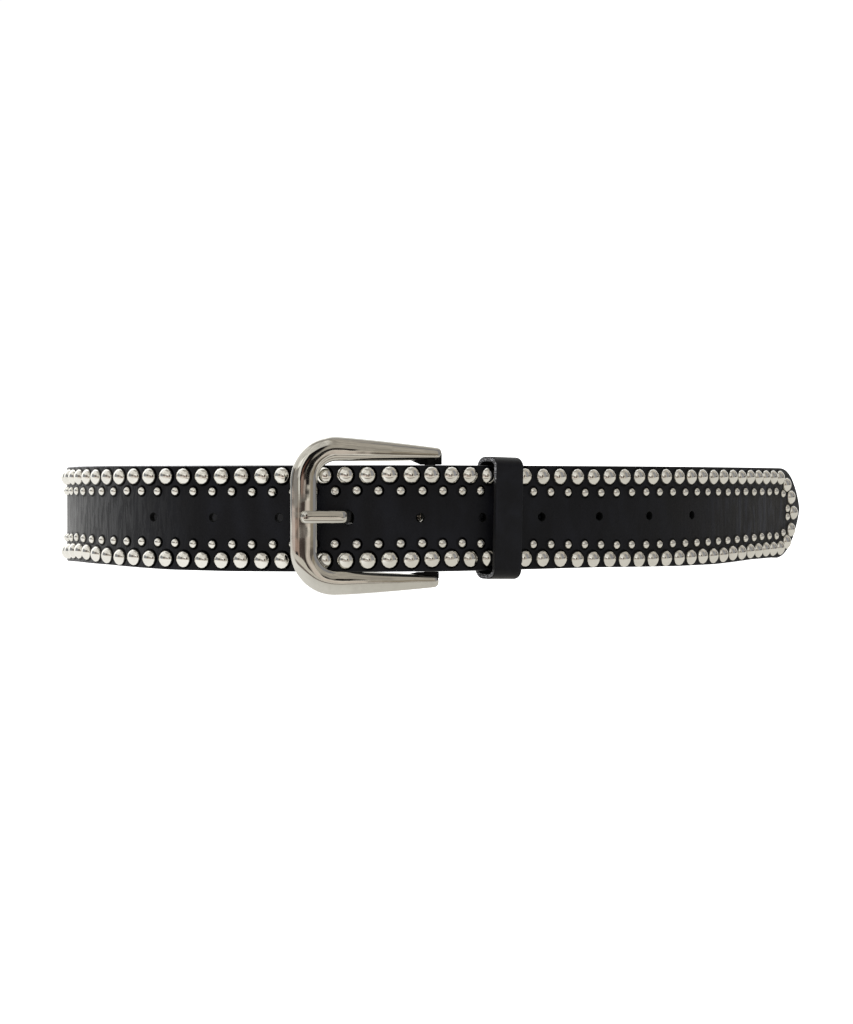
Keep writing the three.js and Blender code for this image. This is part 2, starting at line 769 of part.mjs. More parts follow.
function rivetSolid(height) {
  const profile = [
    new THREE.Vector2(0, rivetLow - RIVET_BACK_HEAD),
    new THREE.Vector2(RIVET_HEAD_RADIUS * 0.8, rivetLow - RIVET_BACK_HEAD),
    new THREE.Vector2(RIVET_HEAD_RADIUS, rivetLow),
    new THREE.Vector2(RIVET_SHAFT_RADIUS, rivetLow),
    new THREE.Vector2(RIVET_SHAFT_RADIUS, rivetHigh),
    new THREE.Vector2(RIVET_HEAD_RADIUS, rivetHigh),
    new THREE.Vector2(RIVET_HEAD_RADIUS * 0.9, rivetHigh + RIVET_FRONT_HEAD),
    new THREE.Vector2(0, rivetHigh + RIVET_FRONT_HEAD),
  ];
  const rivet = solidFromGeometry(new THREE.LatheGeometry(profile, RIVET_SIDES));
  return placed(rivet, rivetPose, height);
}

function rivetCutter(height) {
  const drill = crosswise(RIVET_SHAFT_RADIUS + PIECE_GAP, rivetHigh - rivetLow, RIVET_SIDES);
  return placed(drill.translate([0, (rivetHigh + rivetLow) / 2, 0]), rivetPose, height);
}

// The belt leans back until the frame's lower arm and the strap's back edge both touch the floor.
function leanAngle() {
  const frameLow = framePoint(CORNER_RADIUS, -CORNER_START - CORNER_RADIUS - ARM_ROOT_HALF_WIDTH, 0);
  let backEdge = 0;
  for (let station = barStation; station < foldStation; station += 5) {
    backEdge = Math.max(backEdge, along(station).y);
  }
  return Math.atan2(-HALF_WIDTH - frameLow.z, backEdge - frameLow.y);
}

// Scene
const leather = { color: 0x232326, roughness: 0.55, metalness: 0 };
const nickel = { color: 0xb9b6b0, roughness: 0.16, metalness: 1 };

function mesh(name, solid, look) {
  const piece = new THREE.Mesh(geometryFromSolid(solid), new THREE.MeshStandardMaterial(look));
  piece.name = name;
  return piece;
}

const belt = new THREE.Group();
const rivetCutters = [rivetCutter(RIVET_ROW), rivetCutter(-RIVET_ROW)];
belt.add(mesh('strap', strapSolid(prongSolid(PIECE_GAP), rivetCutters), leather));
belt.add(mesh('keeper', keeperSolid(), leather));
belt.add(mesh('buckle_frame', frameSolid(), nickel));
belt.add(mesh('prong', prongWithEye(), nickel));
belt.add(mesh('fold_rivet_upper', rivetSolid(RIVET_ROW), nickel));
belt.add(mesh('fold_rivet_lower', rivetSolid(-RIVET_ROW), nickel));
belt.rotation.x = -leanAngle();

// The origin is the middle of the bounding box, at the floor.
const part = new THREE.Group();
part.add(belt);
part.updateMatrixWorld(true);
const bounds = new THREE.Box3().setFromObject(part, true);
const middle = bounds.getCenter(new THREE.Vector3());
belt.position.set(-middle.x, -middle.y, -bounds.min.z);

export default part;
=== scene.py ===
"""Studded leather belt, fastened and standing on its edge as a loop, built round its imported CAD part.

Lengths are in metres. The strap is modelled flat, its studded face towards +Y and its tip at X = 0,
and is then bent along its way round the waist.
"""

import math
import random
from collections import namedtuple

import bmesh
import bpy
from mathutils import Matrix, Vector


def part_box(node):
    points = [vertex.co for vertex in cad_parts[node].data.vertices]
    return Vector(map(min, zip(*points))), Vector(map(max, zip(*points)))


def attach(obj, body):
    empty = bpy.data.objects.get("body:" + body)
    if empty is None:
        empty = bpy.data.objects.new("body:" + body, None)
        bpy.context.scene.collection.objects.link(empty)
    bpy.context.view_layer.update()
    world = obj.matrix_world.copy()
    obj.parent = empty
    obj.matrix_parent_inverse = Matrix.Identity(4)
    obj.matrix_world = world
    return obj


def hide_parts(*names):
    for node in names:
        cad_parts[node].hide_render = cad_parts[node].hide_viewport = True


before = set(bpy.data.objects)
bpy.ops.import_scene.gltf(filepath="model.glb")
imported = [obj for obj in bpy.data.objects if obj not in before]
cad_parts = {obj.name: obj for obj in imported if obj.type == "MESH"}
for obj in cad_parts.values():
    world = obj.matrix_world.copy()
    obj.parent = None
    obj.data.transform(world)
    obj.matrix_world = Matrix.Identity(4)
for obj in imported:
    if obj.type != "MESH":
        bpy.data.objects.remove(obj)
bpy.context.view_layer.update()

bl_info = {
    "name": "Studded belt",
    "version": (1, 0, 0),
    "blender": (4, 5, 0),
    "location": "View3D > Sidebar > Belt",
    "description": "Makes the finished pieces of a studded leather belt and its studio",
    "category": "Object",
}

MM = 0.001

Turn = namedtuple("Turn", "run radius")
Pose = namedtuple("Pose", "x y heading")
Arc = namedtuple("Arc", "start run bend")
Spot = namedtuple("Spot", "along across")
Knot = namedtuple("Knot", "station value")
Panel = namedtuple("Panel", "name place size aim power")
Patch = namedtuple("Patch", "name left right bottom top soft colour")

# Plan of the studded face, in millimetres. Each table leaves the buckle's heel bar: the tip and the
# base layer under it to the right, and the waist to the left. Each turn is tangent to the next.
BAR_HEADING = math.radians(18.8)
TIP_TURNS = (Turn(16, 72), Turn(54, 920), Turn(73, 236), Turn(48, 412), Turn(40, math.inf))
WAIST_TURNS = (Turn(42, 72), Turn(60, 262), Turn(190, 98))
BASE_TURNS = (Turn(16, 69.1), Turn(40, 900), Turn(140, 211), Turn(110, 78))
LAYER_GAP = 0.4
LAYER_SPREAD = math.radians(0.8)
BASE_DROP = 0.6
TAB_GAPS = (Knot(0, 4.6), Knot(6, 4.4), Knot(14, 3.4), Knot(21, 2.9), Knot(38, 2.9),
            Knot(42, 1.9), Knot(46, 0.8), Knot(49, 0.4), Knot(62, 0.4))
PIECE_GAP = 0.3
HEEL_RADIUS = 2.0
PLAN_STEP = 1.0
FOLD_STEPS = 24

# Bluntly pointed tip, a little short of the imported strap's end. Its nose lies above the strap's
# middle, and its upper corner is fuller than its lower one.
TIP_AT = 4.0
TIP_LENGTH = 28.0
TIP_UPPER_CORNER = 23.0
TIP_FULLNESS = 2.3
TIP_BLUNTNESS = 0.8
TIP_NOSE_RISE = 1.7
TIP_CORNER_SHARE = 0.45
TIP_STUDS = (Spot(20.6, 12.0), Spot(15.8, 6.6), Spot(13.2, 0), Spot(15.8, -7.3), Spot(20.6, -12.4))
TIP_SMALL_STUDS = (Spot(24.2, 8.1), Spot(19.2, 1.8), Spot(19.2, -1.8), Spot(24.2, -8.4))

# How far the hand-set rows of studs stray from even rows, by their distance from the tip. Along the
# strap a shift is away from the tip, and across it is upwards.
LARGE_ALONG = (Knot(60, 0.3), Knot(130, 0.4), Knot(145, 0), Knot(170, -0.45), Knot(190, -0.1),
               Knot(215, 0.5), Knot(240, -0.7), Knot(265, -0.7), Knot(295, -0.5), Knot(320, 0.25))
SMALL_ALONG = (Knot(60, -0.2), Knot(135, -0.4), Knot(165, -0.75), Knot(200, -0.3), Knot(240, -1.3),
               Knot(293, -1.2), Knot(325, -0.35))
UPPER_LARGE = (Knot(60, -0.3), Knot(154, -0.3), Knot(170, -0.5), Knot(215, -0.1), Knot(250, 0.2),
               Knot(297, -0.25))
UPPER_SMALL = (Knot(60, -0.7), Knot(175, -0.7), Knot(215, 0), Knot(265, 0.1), Knot(300, -0.4),
               Knot(350, -0.1))
LOWER_SMALL = (Knot(36, 0.2), Knot(50, 0), Knot(95, -1.1), Knot(134, -1.5), Knot(178, -0.75),
               Knot(215, 0.3), Knot(250, 0.5), Knot(315, -0.25), Knot(350, 0.5), Knot(372, 0.5),
               Knot(395, 1.3), Knot(450, 0))
LOWER_LARGE = (Knot(40, 0.5), Knot(60, 0), Knot(90, -1.0), Knot(122, -1.3), Knot(160, -0.95),
               Knot(190, 0), Knot(225, 0.5), Knot(257, 0), Knot(297, -0.3), Knot(325, -0.35),
               Knot(345, 0), Knot(362, 0.2), Knot(372, 0.8), Knot(385, 1.5), Knot(395, 1.6),
               Knot(450, 0))
HOLE_SHIFTS = (0.9, 0.9, 0.8, 1.7, 1.6, 0.2, 0, -0.3, 0, 0)

# How far the cut edges stray upwards from straight
UPPER_EDGE = (Knot(280, 0), Knot(340, 0.25), Knot(370, 0.4), Knot(400, 0.3), Knot(440, 0))
LOWER_EDGE = (Knot(36, 0.3), Knot(57, 0.2), Knot(74, -0.4), Knot(88, -0.85), Knot(113, -0.9),
              Knot(137, -0.65), Knot(158, -0.35), Knot(200, -0.3), Knot(280, -0.5), Knot(309, -0.7),
              Knot(335, -0.5), Knot(350, 0), Knot(366, 0.6), Knot(395, 1.0), Knot(450, 0))

# The belt leans back until the buckle's lower arm and the strap's back edge touch the floor.
BELT_LEAN = math.radians(1.996)

# Buckle frame, in its own plane: u from the left bar to the heel bar, v up and w out
FRAME_RISE = 0.7
FRAME_STANDOFF = 6.6
LEFT_BAR_FROM_HEEL = 47.0
CORNER_RADIUS = 12.0
CORNER_START = 12.3
ARM_END_U = 4.4
ARM_END_V = 22.9
ARM_TAPER = 1.4
UPPER_ARM_SHORT = 0.0
LOWER_ARM_SHORT = 1.1
UPPER_ARM_DROP = 0.4
LOWER_ARM_DROP = 1.2
LUG_LENGTH = 8.0
LUG_WEDGE = 9.0
LUG_DEPTH = 1.4
LUG_GAP = 0.2
LUG_WEDGE_END = 0.6
ARM_END_HALF_DEPTH = 1.5
ARM_ROUND_END = 1.6
HEEL_BAR_SHORT = 2.2

# The keeper as packed: from the heel bar to its middle along the strap, and the studs it goes over
KEEPER_FROM_HEEL = 28.3
STUD_HEIGHT = 1.5

# From the strap's edge to the inside of the keeper, and how much of the keeper's cut edges shows pale
# fibres at the top and at the foot; between them the edges carry painted shade
KEEPER_ABOVE_EDGE = 1.4
KEEPER_PALE_TOP = 8.5
KEEPER_PALE_FOOT = 3.2

# Lines of the flat strap's grid, and the openings that are cut along them
TIP_COLUMNS = 10
STRAP_ROWS = 12
LINES_PER_HOLE = 8
TAB_LINES = 22
PRONG_HOLE_HALF_LENGTH = 2.0
PRONG_HOLE_HALF_HEIGHT = 2.8
FOLD_SLOT_REACH = 6.0
FOLD_SLOT_HALF_HEIGHT = 3.2

# Stretches along the strap over which its finish changes, in metres from the tip
CREASES_FADE = (0.05, 0.115)
POLISH_RISES = (0.315, 0.365)
# The painted sheen rises over this stretch.
SHEEN_TONE_RISES = (0.325, 0.38)
# The painted highlight on the upper corner rises over the first stretch and lies within the second.
CORNER_HIGHLIGHT_RISES = (0.27, 0.35)
CORNER_HIGHLIGHT_SPAN = (0.26, 0.46)

# A stud is let a little into the leather, and the ring of painted shade round it goes a little under it.
STUD_SUNK = 0.12
SHADE_RING_UNDER_STUD = 0.15
SHADE_RING_LIFT = 0.06
SHADE_RING_FROM_EDGE = 0.3

# The prong dives into its hole at an angle, and its eye is a ring round the heel bar.
PRONG_FROM_BAR = 32.3
PRONG_DIVE = math.radians(65)
PRONG_TIP_U = -1.6
PRONG_RISE = 0.35
PRONG_TURN_RADIUS = 2.2
EYE_RADIUS = 3.2
EYE_HALF_THICKNESS = 0.88

# Fold rivets: a head behind the tab, a shaft, and a burr on the base layer's face
RIVETS_FROM_FOLD = 55.5
RIVET_FROM_MIDDLE = 11
RIVET_RADIUS = 3.4
RIVET_HEAD_HEIGHT = 1.1
RIVET_SHAFT_RADIUS = 1.5
BURR_THICKNESS = 0.55
BURR_OUT = 0.3


# Settings
def length_setting(name, description, millimetres, **limits):
    """A length with its default in millimetres. Its limits are in metres."""
    return bpy.props.FloatProperty(
        name=name, description=description, default=millimetres * MM,
        unit="LENGTH", subtype="DISTANCE", **limits)


def angle_setting(name, description, degrees):
    return bpy.props.FloatProperty(
        name=name, description=description, default=math.radians(degrees),
        unit="ROTATION", subtype="ANGLE")


def colour_setting(name, description, red, green, blue):
    return bpy.props.FloatVectorProperty(
        name=name, description=description, size=3, subtype="COLOR",
        default=(red, green, blue), min=0, max=1)


class StrapSizes(bpy.types.PropertyGroup):
    """Sizes of the leather strap."""

    width: length_setting("Width", "Height of the strap as it is worn", 38, min=0.01)
    thickness: length_setting("Thickness", "Thickness of the leather", 2.5, min=0.0005)
    edge_round: length_setting("Edge round", "Rounding of the cut edges", 0.35, min=0.0)
    hole_radius: length_setting("Hole radius", "Radius of a punched hole", 1.6, min=0.0001)
    hole_first: length_setting("First hole", "From the tip to the first hole", 105.0)
    hole_pitch: length_setting("Hole pitch", "From one hole to the next", 26.4)
    hole_count: bpy.props.IntProperty(
        name="Holes", description="Number of punched holes", default=10, min=1)
    prong_hole: bpy.props.IntProperty(
        name="Prong's hole", description="Which hole the prong is in, counted from nought at the tip",
        default=6, min=0)


class StudSizes(bpy.types.PropertyGroup):
    """Sizes of the domed studs."""

    radius: length_setting("Large radius", "Radius of a large stud", 3.04)
    height: length_setting("Large height", "How far a large stud stands off the leather", 2.4)
    row: length_setting("Large row", "From the strap's middle to a row of large studs", 15.3)
    first: length_setting("First large stud", "From the tip to the first pair of large studs", 27.6)
    pitch: length_setting("Pitch", "From one stud to the next in a row", 7.918)
    small_radius: length_setting("Small radius", "Radius of a small stud", 1.61)
    small_height: length_setting("Small height", "How far a small stud stands off the leather", 1.35)
    wall: bpy.props.FloatProperty(
        name="Wall", description="Part of a stud's height that is steep wall below the rounded cap",
        default=0.3, min=0.0, max=0.9, subtype="FACTOR")
    small_row: length_setting("Small row", "From the strap's middle to a row of small studs", 9.7)
    small_first: length_setting("First small stud", "From the tip to the first pair of small studs", 32.0)
    clear_of_fold: length_setting("Clear of fold", "Plain stretch of strap before the fold", 70)
    # The ring round a stud is painted shade.
    shade_ring_reach: length_setting("Seat reach", "Width of the ring of pressed leather round a stud", 0.62)
    unevenness: length_setting("Unevenness", "How far a stud may be set from its place", 0.12, min=0.0)


class BuckleSizes(bpy.types.PropertyGroup):
    """Sizes of the buckle's frame and prong."""

    bar_half_width: length_setting("Bar half width", "Half the width of the left bar", 4.8)
    arm_half_width: length_setting(
        "Arm half width", "Half the width of an arm where it leaves the corner", 4.2)
    arm_end_half_width: length_setting("Arm end half width", "Half the width of an arm at its end", 2.0)
    half_depth: length_setting("Half depth", "Half the depth of the frame's metal", 2.2)
    prong_half_width: length_setting("Prong half width", "Half the width of the prong", 2.3)
    prong_half_thickness: length_setting("Prong half thickness", "Half the thickness of the prong", 1.2)


class KeeperSizes(bpy.types.PropertyGroup):
    """Sizes of the leather keeper."""

    slid: length_setting("Slid", "How far the keeper has slid towards the buckle", 1.1)
    askew: angle_setting("Askew", "How far the keeper leans out of square with the strap", 1.3)
    width: length_setting("Width", "Width of the keeper along the strap", 11.8)
    thickness: length_setting("Thickness", "Thickness of the keeper's leather", 2)
    corner_height: length_setting("Corner height", "How far down the front a corner reaches", 3.6)
    corner_depth: length_setting("Corner depth", "How far back along the top a corner reaches", 4.9)


class Finishes(bpy.types.PropertyGroup):
    """Colours of the leather, the metal and the floor."""

    leather: colour_setting("Leather", "Colour of the dyed grain side", 0.0034, 0.0035, 0.0044)
    leather_light: colour_setting(
        "Leather, worn", "Colour of the leather where the dye is thin", 0.0098, 0.011, 0.0165)
    # Painted sheen: a lighter colour where the strap bends hard.
    leather_sheen: colour_setting(
        "Leather, bent", "Colour of the leather where a hard bend stretches it", 0.013, 0.0135, 0.0155)
    cut_edge: colour_setting("Cut edge", "Colour of the fibres on a cut edge", 0.5, 0.5, 0.52)
    nickel: colour_setting("Nickel", "Colour of the nickel plate", 0.65, 0.635, 0.59)
    stud_nickel: colour_setting("Stud nickel", "Colour of the studs' brighter plate", 0.84, 0.825, 0.775)
    floor: colour_setting("Floor", "Colour of the floor", 0.9, 0.9, 0.9)


class StageSizes(bpy.types.PropertyGroup):
    """Place of the camera and the strength of the light."""

    camera_place: bpy.props.FloatVectorProperty(
        name="Camera", description="Where the camera stands", size=3, subtype="TRANSLATION",
        unit="LENGTH", default=(-8 * MM, -922.8 * MM, 67.8 * MM))
    camera_dip: angle_setting("Camera dip", "How far the camera looks down", 2.69)
    camera_lens: bpy.props.FloatProperty(
        name="Lens", description="Focal length on a 36 mm sensor, along the image's long side",
        default=78.26, unit="CAMERA")
    room_light: bpy.props.FloatProperty(
        name="Room light", description="Strength of the light from all round", default=1.05, min=0)
    floor_glow: bpy.props.FloatProperty(
        name="Floor glow", description="Strength of the floor's own faint light", default=0.7, min=0)


# Plan geometry. A pose is a point with a heading, and an arc is a pose, a run and a bend.
def advance(pose, run, bend):
    if bend == 0:
        x = pose.x + run * math.cos(pose.heading)
        return Pose(x, pose.y + run * math.sin(pose.heading), pose.heading)
    heading = pose.heading + bend * run
    x = pose.x + (math.sin(heading) - math.sin(pose.heading)) / bend
    y = pose.y - (math.cos(heading) - math.cos(pose.heading)) / bend
    return Pose(x, y, heading)


def end_of(arcs):
    last = arcs[-1]
    return advance(last.start, last.run, last.bend)


def turned_round(pose):
    return Pose(pose.x, pose.y, pose.heading + math.pi)


def walk(start, turns, side):
    """Arcs that follow the turns from a pose. side is 1 to bend left and -1 to bend right."""
    arcs = []
    pose = start
    for turn in turns:
        bend = side / turn.radius
        arcs.append(Arc(pose, turn.run, bend))
        pose = advance(pose, turn.run, bend)
    return arcs


def reversed_way(arcs):
    return [Arc(turned_round(advance(*arc)), arc.run, -arc.bend) for arc in reversed(arcs)]


def arc_to(pose, x, y):
    dx = x - pose.x
    dy = y - pose.y
    ahead = dx * math.cos(pose.heading) + dy * math.sin(pose.heading)
    left = dy * math.cos(pose.heading) - dx * math.sin(pose.heading)
    turn = 2 * math.atan2(left, ahead)
    run = math.hypot(dx, dy) * (turn / 2) / math.sin(turn / 2)
    return Arc(pose, run, turn / run)


def join_by_two_arcs(start, goal):
    """Two arcs of equal tangent length from one pose to another."""
    ahead = Vector((math.cos(start.heading), math.sin(start.heading)))
    onward = Vector((math.cos(goal.heading), math.sin(goal.heading)))
    gap = Vector((goal.x - start.x, goal.y - start.y))
    a = 2 * (1 - ahead.dot(onward))
    b = 2 * gap.dot(ahead + onward)
    reach = (math.sqrt(b * b + 4 * a * gap.dot(gap)) - b) / (2 * a)
    meet = (Vector((start.x, start.y)) + reach * ahead + Vector((goal.x, goal.y)) - reach * onward) / 2
    first = arc_to(start, meet.x, meet.y)
    return [first, arc_to(end_of([first]), goal.x, goal.y)]


def pose_along(arcs, distance):
    for arc in arcs:
        if distance <= arc.run:
            return advance(arc.start, distance, arc.bend)
        distance -= arc.run
    return advance(end_of(arcs), distance, 0)


def shifted(pose, distance):
    """The pose moved out of the studded face, which lies to its left."""
    x = pose.x - math.sin(pose.heading) * distance
    y = pose.y + math.cos(pose.heading) * distance
    return Pose(x, y, pose.heading)


def value_at(knots, station):
    """The value at a station, between those of the knots on either side."""
    for near, far in zip(knots, knots[1:]):
        if station <= far.station:
            share = max(0, (station - near.station) / (far.station - near.station))
            return near.value + (far.value - near.value) * share
    return knots[-1].value


class BeltPlan:
    """The strap's way from its tip, round the waist and the fold, to the end of the tab."""

    def __init__(self, strap):
        self.half_width = strap.width / MM / 2
        self.thickness = strap.thickness / MM
        bar_to_left = Pose(0, 0, BAR_HEADING + math.pi)
        bar_to_right = turned_round(bar_to_left)
        base_top = shifted(bar_to_left, -self.thickness - LAYER_GAP)
        base_to_right = Pose(base_top.x, base_top.y, BAR_HEADING + LAYER_SPREAD)
        tip = reversed_way(walk(bar_to_right, TIP_TURNS, 1))
        waist = walk(bar_to_left, WAIST_TURNS, -1)
        base = reversed_way(walk(base_to_right, BASE_TURNS, 1))
        back = join_by_two_arcs(end_of(waist), base[0].start)
        self.arcs = tip + waist + back + base
        self.bar = sum(arc.run for arc in tip)
        self.fold = sum(arc.run for arc in self.arcs)
        self.fold_radius = HEEL_RADIUS + PIECE_GAP + self.thickness
        self.fold_run = math.pi * self.fold_radius
        self.tab_run = TAB_GAPS[-1].station
        self.heel = shifted(end_of(base), -self.fold_radius)

    def along(self, station):
        return pose_along(self.arcs, station)

    def drop(self, station):
        share = (station - self.bar) / (self.fold - self.bar)
        return -BASE_DROP * min(1, max(0, share))

    def tab_gap(self, from_bar):
        return value_at(TAB_GAPS, from_bar)

    def points(self):
        """Points of the studded face in plan, close enough for a smooth bend."""
        steps = round(self.fold / PLAN_STEP)
        poses = [self.along(self.fold * step / steps) for step in range(steps + 1)]
        for step in range(1, FOLD_STEPS + 1):
            heading = self.heel.heading - math.pi * step / FOLD_STEPS
            poses.append(shifted(Pose(self.heel.x, self.heel.y, heading), self.fold_radius))
        for step in range(1, round(self.tab_run / PLAN_STEP) + 1):
            from_bar = step * PLAN_STEP
            offset = -2 * self.thickness - self.tab_gap(from_bar)
            poses.append(shifted(self.along(self.fold - from_bar), offset))
        return [Vector((pose.x, pose.y, 0)) * MM for pose in poses]


class BucklePlane:
    """The plane of the buckle's frame, from the left bar in front of the strap to the heel bar."""

    def __init__(self, plan):
        left_bar = shifted(plan.along(plan.bar + LEFT_BAR_FROM_HEEL), FRAME_STANDOFF)
        dx = plan.heel.x - left_bar.x
        dy = plan.heel.y - left_bar.y
        self.length = math.hypot(dx, dy)
        self.heading = math.atan2(dy, dx)
        self.along = Vector((math.cos(self.heading), math.sin(self.heading), 0))
        self.out = Vector((math.sin(self.heading), -math.cos(self.heading), 0))
        self.origin = Vector((left_bar.x, left_bar.y, FRAME_RISE))

    def matrix(self, first, second, third):
        """Takes a piece's X, Y and Z, in metres, to three directions from the left bar's middle."""
        turn = Matrix((first, second, third)).transposed().to_4x4()
        return Matrix.Translation(self.origin * MM) @ turn

    def coordinates(self, pose):
        gap = Vector((pose.x, pose.y, 0)) - Vector((self.origin.x, self.origin.y, 0))
        return gap.dot(self.along), gap.dot(self.out)


# Handling of objects
def select_only(piece):
    bpy.ops.object.select_all(action="DESELECT")
    piece.select_set(True)
    bpy.context.view_layer.objects.active = piece


def added(name, primitive, scale=(1, 1, 1), **settings):
    """A piece from one of Blender's primitives, with its place, turn and scale in its mesh."""
    bpy.ops.object.select_all(action="DESELECT")
    primitive(**settings)
    piece = bpy.context.object
    piece.name = name
    piece.scale = scale
    bpy.ops.object.transform_apply()
    return piece


def rod(name, sides, radius, run, middle):
    """A round rod along Y. Its sizes and its middle are in millimetres."""
    return added(
        name, bpy.ops.mesh.primitive_cylinder_add, vertices=sides, radius=radius * MM, depth=run * MM,
        location=[place * MM for place in middle], rotation=(math.pi / 2, 0, 0))


def apply_modifier(piece, name, kind, **settings):
    modifier = piece.modifiers.new(name, kind)
    for key, value in settings.items():
        setattr(modifier, key, value)
    select_only(piece)
    bpy.ops.object.modifier_apply(modifier=modifier.name)


def joined(name, pieces):
    select_only(pieces[0])
    for piece in pieces[1:]:
        piece.select_set(True)
    bpy.ops.object.join()
    piece = bpy.context.object
    piece.name = name
    return piece


def in_edit_mode(piece, select, *steps):
    """Selects the parts of the mesh that select picks from its BMesh, then runs each step."""
    select_only(piece)
    bpy.ops.object.mode_set(mode="EDIT")
    bpy.ops.mesh.select_all(action="DESELECT")
    mesh = bmesh.from_edit_mesh(piece.data)
    for element in select(mesh):
        element.select_set(True)
    mesh.select_flush_mode()
    bmesh.update_edit_mesh(piece.data)
    for step in steps:
        step()
    bpy.ops.object.mode_set(mode="OBJECT")


def outward_faces(piece):
    in_edit_mode(
        piece,
        lambda mesh: mesh.faces,
        lambda: bpy.ops.mesh.remove_doubles(threshold=1e-6),
        lambda: bpy.ops.mesh.normals_make_consistent(inside=False),
    )


def drawn(name, points, closed=False, radii=None):
    """A curve through points, straight from each to the next."""
    curve = bpy.data.curves.new(name, "CURVE")
    curve.dimensions = "3D"
    curve.twist_mode = "Z_UP"
    curve.use_deform_bounds = False
    spline = curve.splines.new("POLY")
    spline.points.add(len(points) - 1)
    for index, point in enumerate(points):
        spline.points[index].co = (*point, 1)
        spline.points[index].radius = radii[index] if radii else 1
    spline.use_cyclic_u = closed
    line = bpy.data.objects.new(name, curve)
    bpy.context.scene.collection.objects.link(line)
    return line


def swept(name, section, way, radii):
    """A bar of a closed section along a way. The section's X lies to the way's right and its Y up."""
    profile = drawn(name + "_section", section, closed=True)
    bar = drawn(name, way, radii=radii)
    bar.data.bevel_mode = "OBJECT"
    bar.data.bevel_object = profile
    bar.data.use_fill_caps = True
    select_only(bar)
    bpy.ops.object.convert(target="MESH")
    bar = bpy.context.object
    bpy.data.objects.remove(profile)
    outward_faces(bar)
    return bar


def rounded_section(sides, inner_power, outer_power, back_depth, inner_reach=1.0):
    """A bar's section, one unit each way: X is the inner side and Y the front, and a power squares it."""
    section = []
    for side in range(sides):
        angle = 2 * math.pi * side / sides
        power = inner_power if math.cos(angle) > 0 else outer_power
        x = math.copysign(abs(math.cos(angle)) ** (2 / power), math.cos(angle))
        x *= inner_reach if x > 0 else 1.0
        y = math.copysign(abs(math.sin(angle)) ** (2 / power), math.sin(angle))
        section.append((x, y if y > 0 else y * back_depth, 0))
    return section


def keeper_middle(plan, slid=0.0, over=STUD_HEIGHT):
    """Middle of the keeper before the belt leans, and the depth of its inside."""
    layers = 2 * plan.thickness + LAYER_GAP + KEEPER_FROM_HEEL * math.tan(LAYER_SPREAD)
    front = over + PIECE_GAP
    back = -layers - 2 * PIECE_GAP
    pose = shifted(plan.along(plan.bar - KEEPER_FROM_HEEL + slid), (front + back) / 2)
    return pose, front - back


def belt_place(plan):
    """Matrix that leans the belt and puts it where the CAD part is. The keeper gives its place."""
    lean = Matrix.Rotation(-BELT_LEAN, 4, "X")
    pose, _ = keeper_middle(plan)
    low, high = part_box("keeper")
    here = lean @ (Vector((pose.x, pose.y, -BASE_DROP / 2)) * MM)
    return Matrix.Translation((low + high) / 2 - here) @ lean


def settled(piece, plan, place=None):
    """Puts a piece made in the belt's plan, or in its own place there, into the standing belt."""
    matrix = belt_place(plan)
    piece.data.transform(matrix @ place if place else matrix)
    piece.data.update()
    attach(piece, "root")


def bent_along_strap(piece, plan):
    """Bends a flat piece along the strap's way, after its mid line has come down towards the fold."""
    for vertex in piece.data.vertices:
        vertex.co.z += plan.drop(vertex.co.x / MM) * MM
    way = drawn("strap_way", plan.points())
    apply_modifier(piece, "bend", "CURVE", object=way, deform_axis="POS_X")
    bpy.data.objects.remove(way)


def unwrapped_flat(piece):
    """UV in metres: U along the strap from its tip and V across it from its middle."""
    while piece.data.uv_layers:
        piece.data.uv_layers.remove(piece.data.uv_layers[0])
    layer = piece.data.uv_layers.new(name="strap")
    for loop in piece.data.loops:
        place = piece.data.vertices[loop.vertex_index].co
        layer.data[loop.index].uv = (place.x, place.z)


def coated(piece, *materials):
    """Gives a piece its materials: the face first, then the back and the rim where it has them."""
    for coat in materials:
        piece.data.materials.append(coat)


def smoothly_shaded(piece):
    select_only(piece)
    bpy.ops.object.shade_smooth_by_angle(angle=math.radians(40))


def evenly_shaded(piece):
    """Smooth shading in which the large faces stay flat beside their rounded edges."""
    smoothly_shaded(piece)
    apply_modifier(piece, "shading", "WEIGHTED_NORMAL", keep_sharp=True)


def thickened(piece, thickness, edge_round, **bevel):
    """Gives a sheet its thickness, and its back and rim their materials, and rounds its edges."""
    apply_modifier(piece, "leather", "SOLIDIFY", thickness=thickness, offset=-1,
                   use_even_offset=True, material_offset=1, material_offset_rim=2)
    apply_modifier(piece, "edges", "BEVEL", width=edge_round, segments=3,
                   limit_method="ANGLE", angle_limit=math.radians(50), **bevel)


def faces_where(test):
    """Picks the faces whose middles pass a test."""
    return lambda mesh: [face for face in mesh.faces if test(face.calc_center_median())]


def finished(piece, slot, *materials):
    if materials:
        piece.data.materials.clear()
        coated(piece, *materials)
        smoothly_shaded(piece)


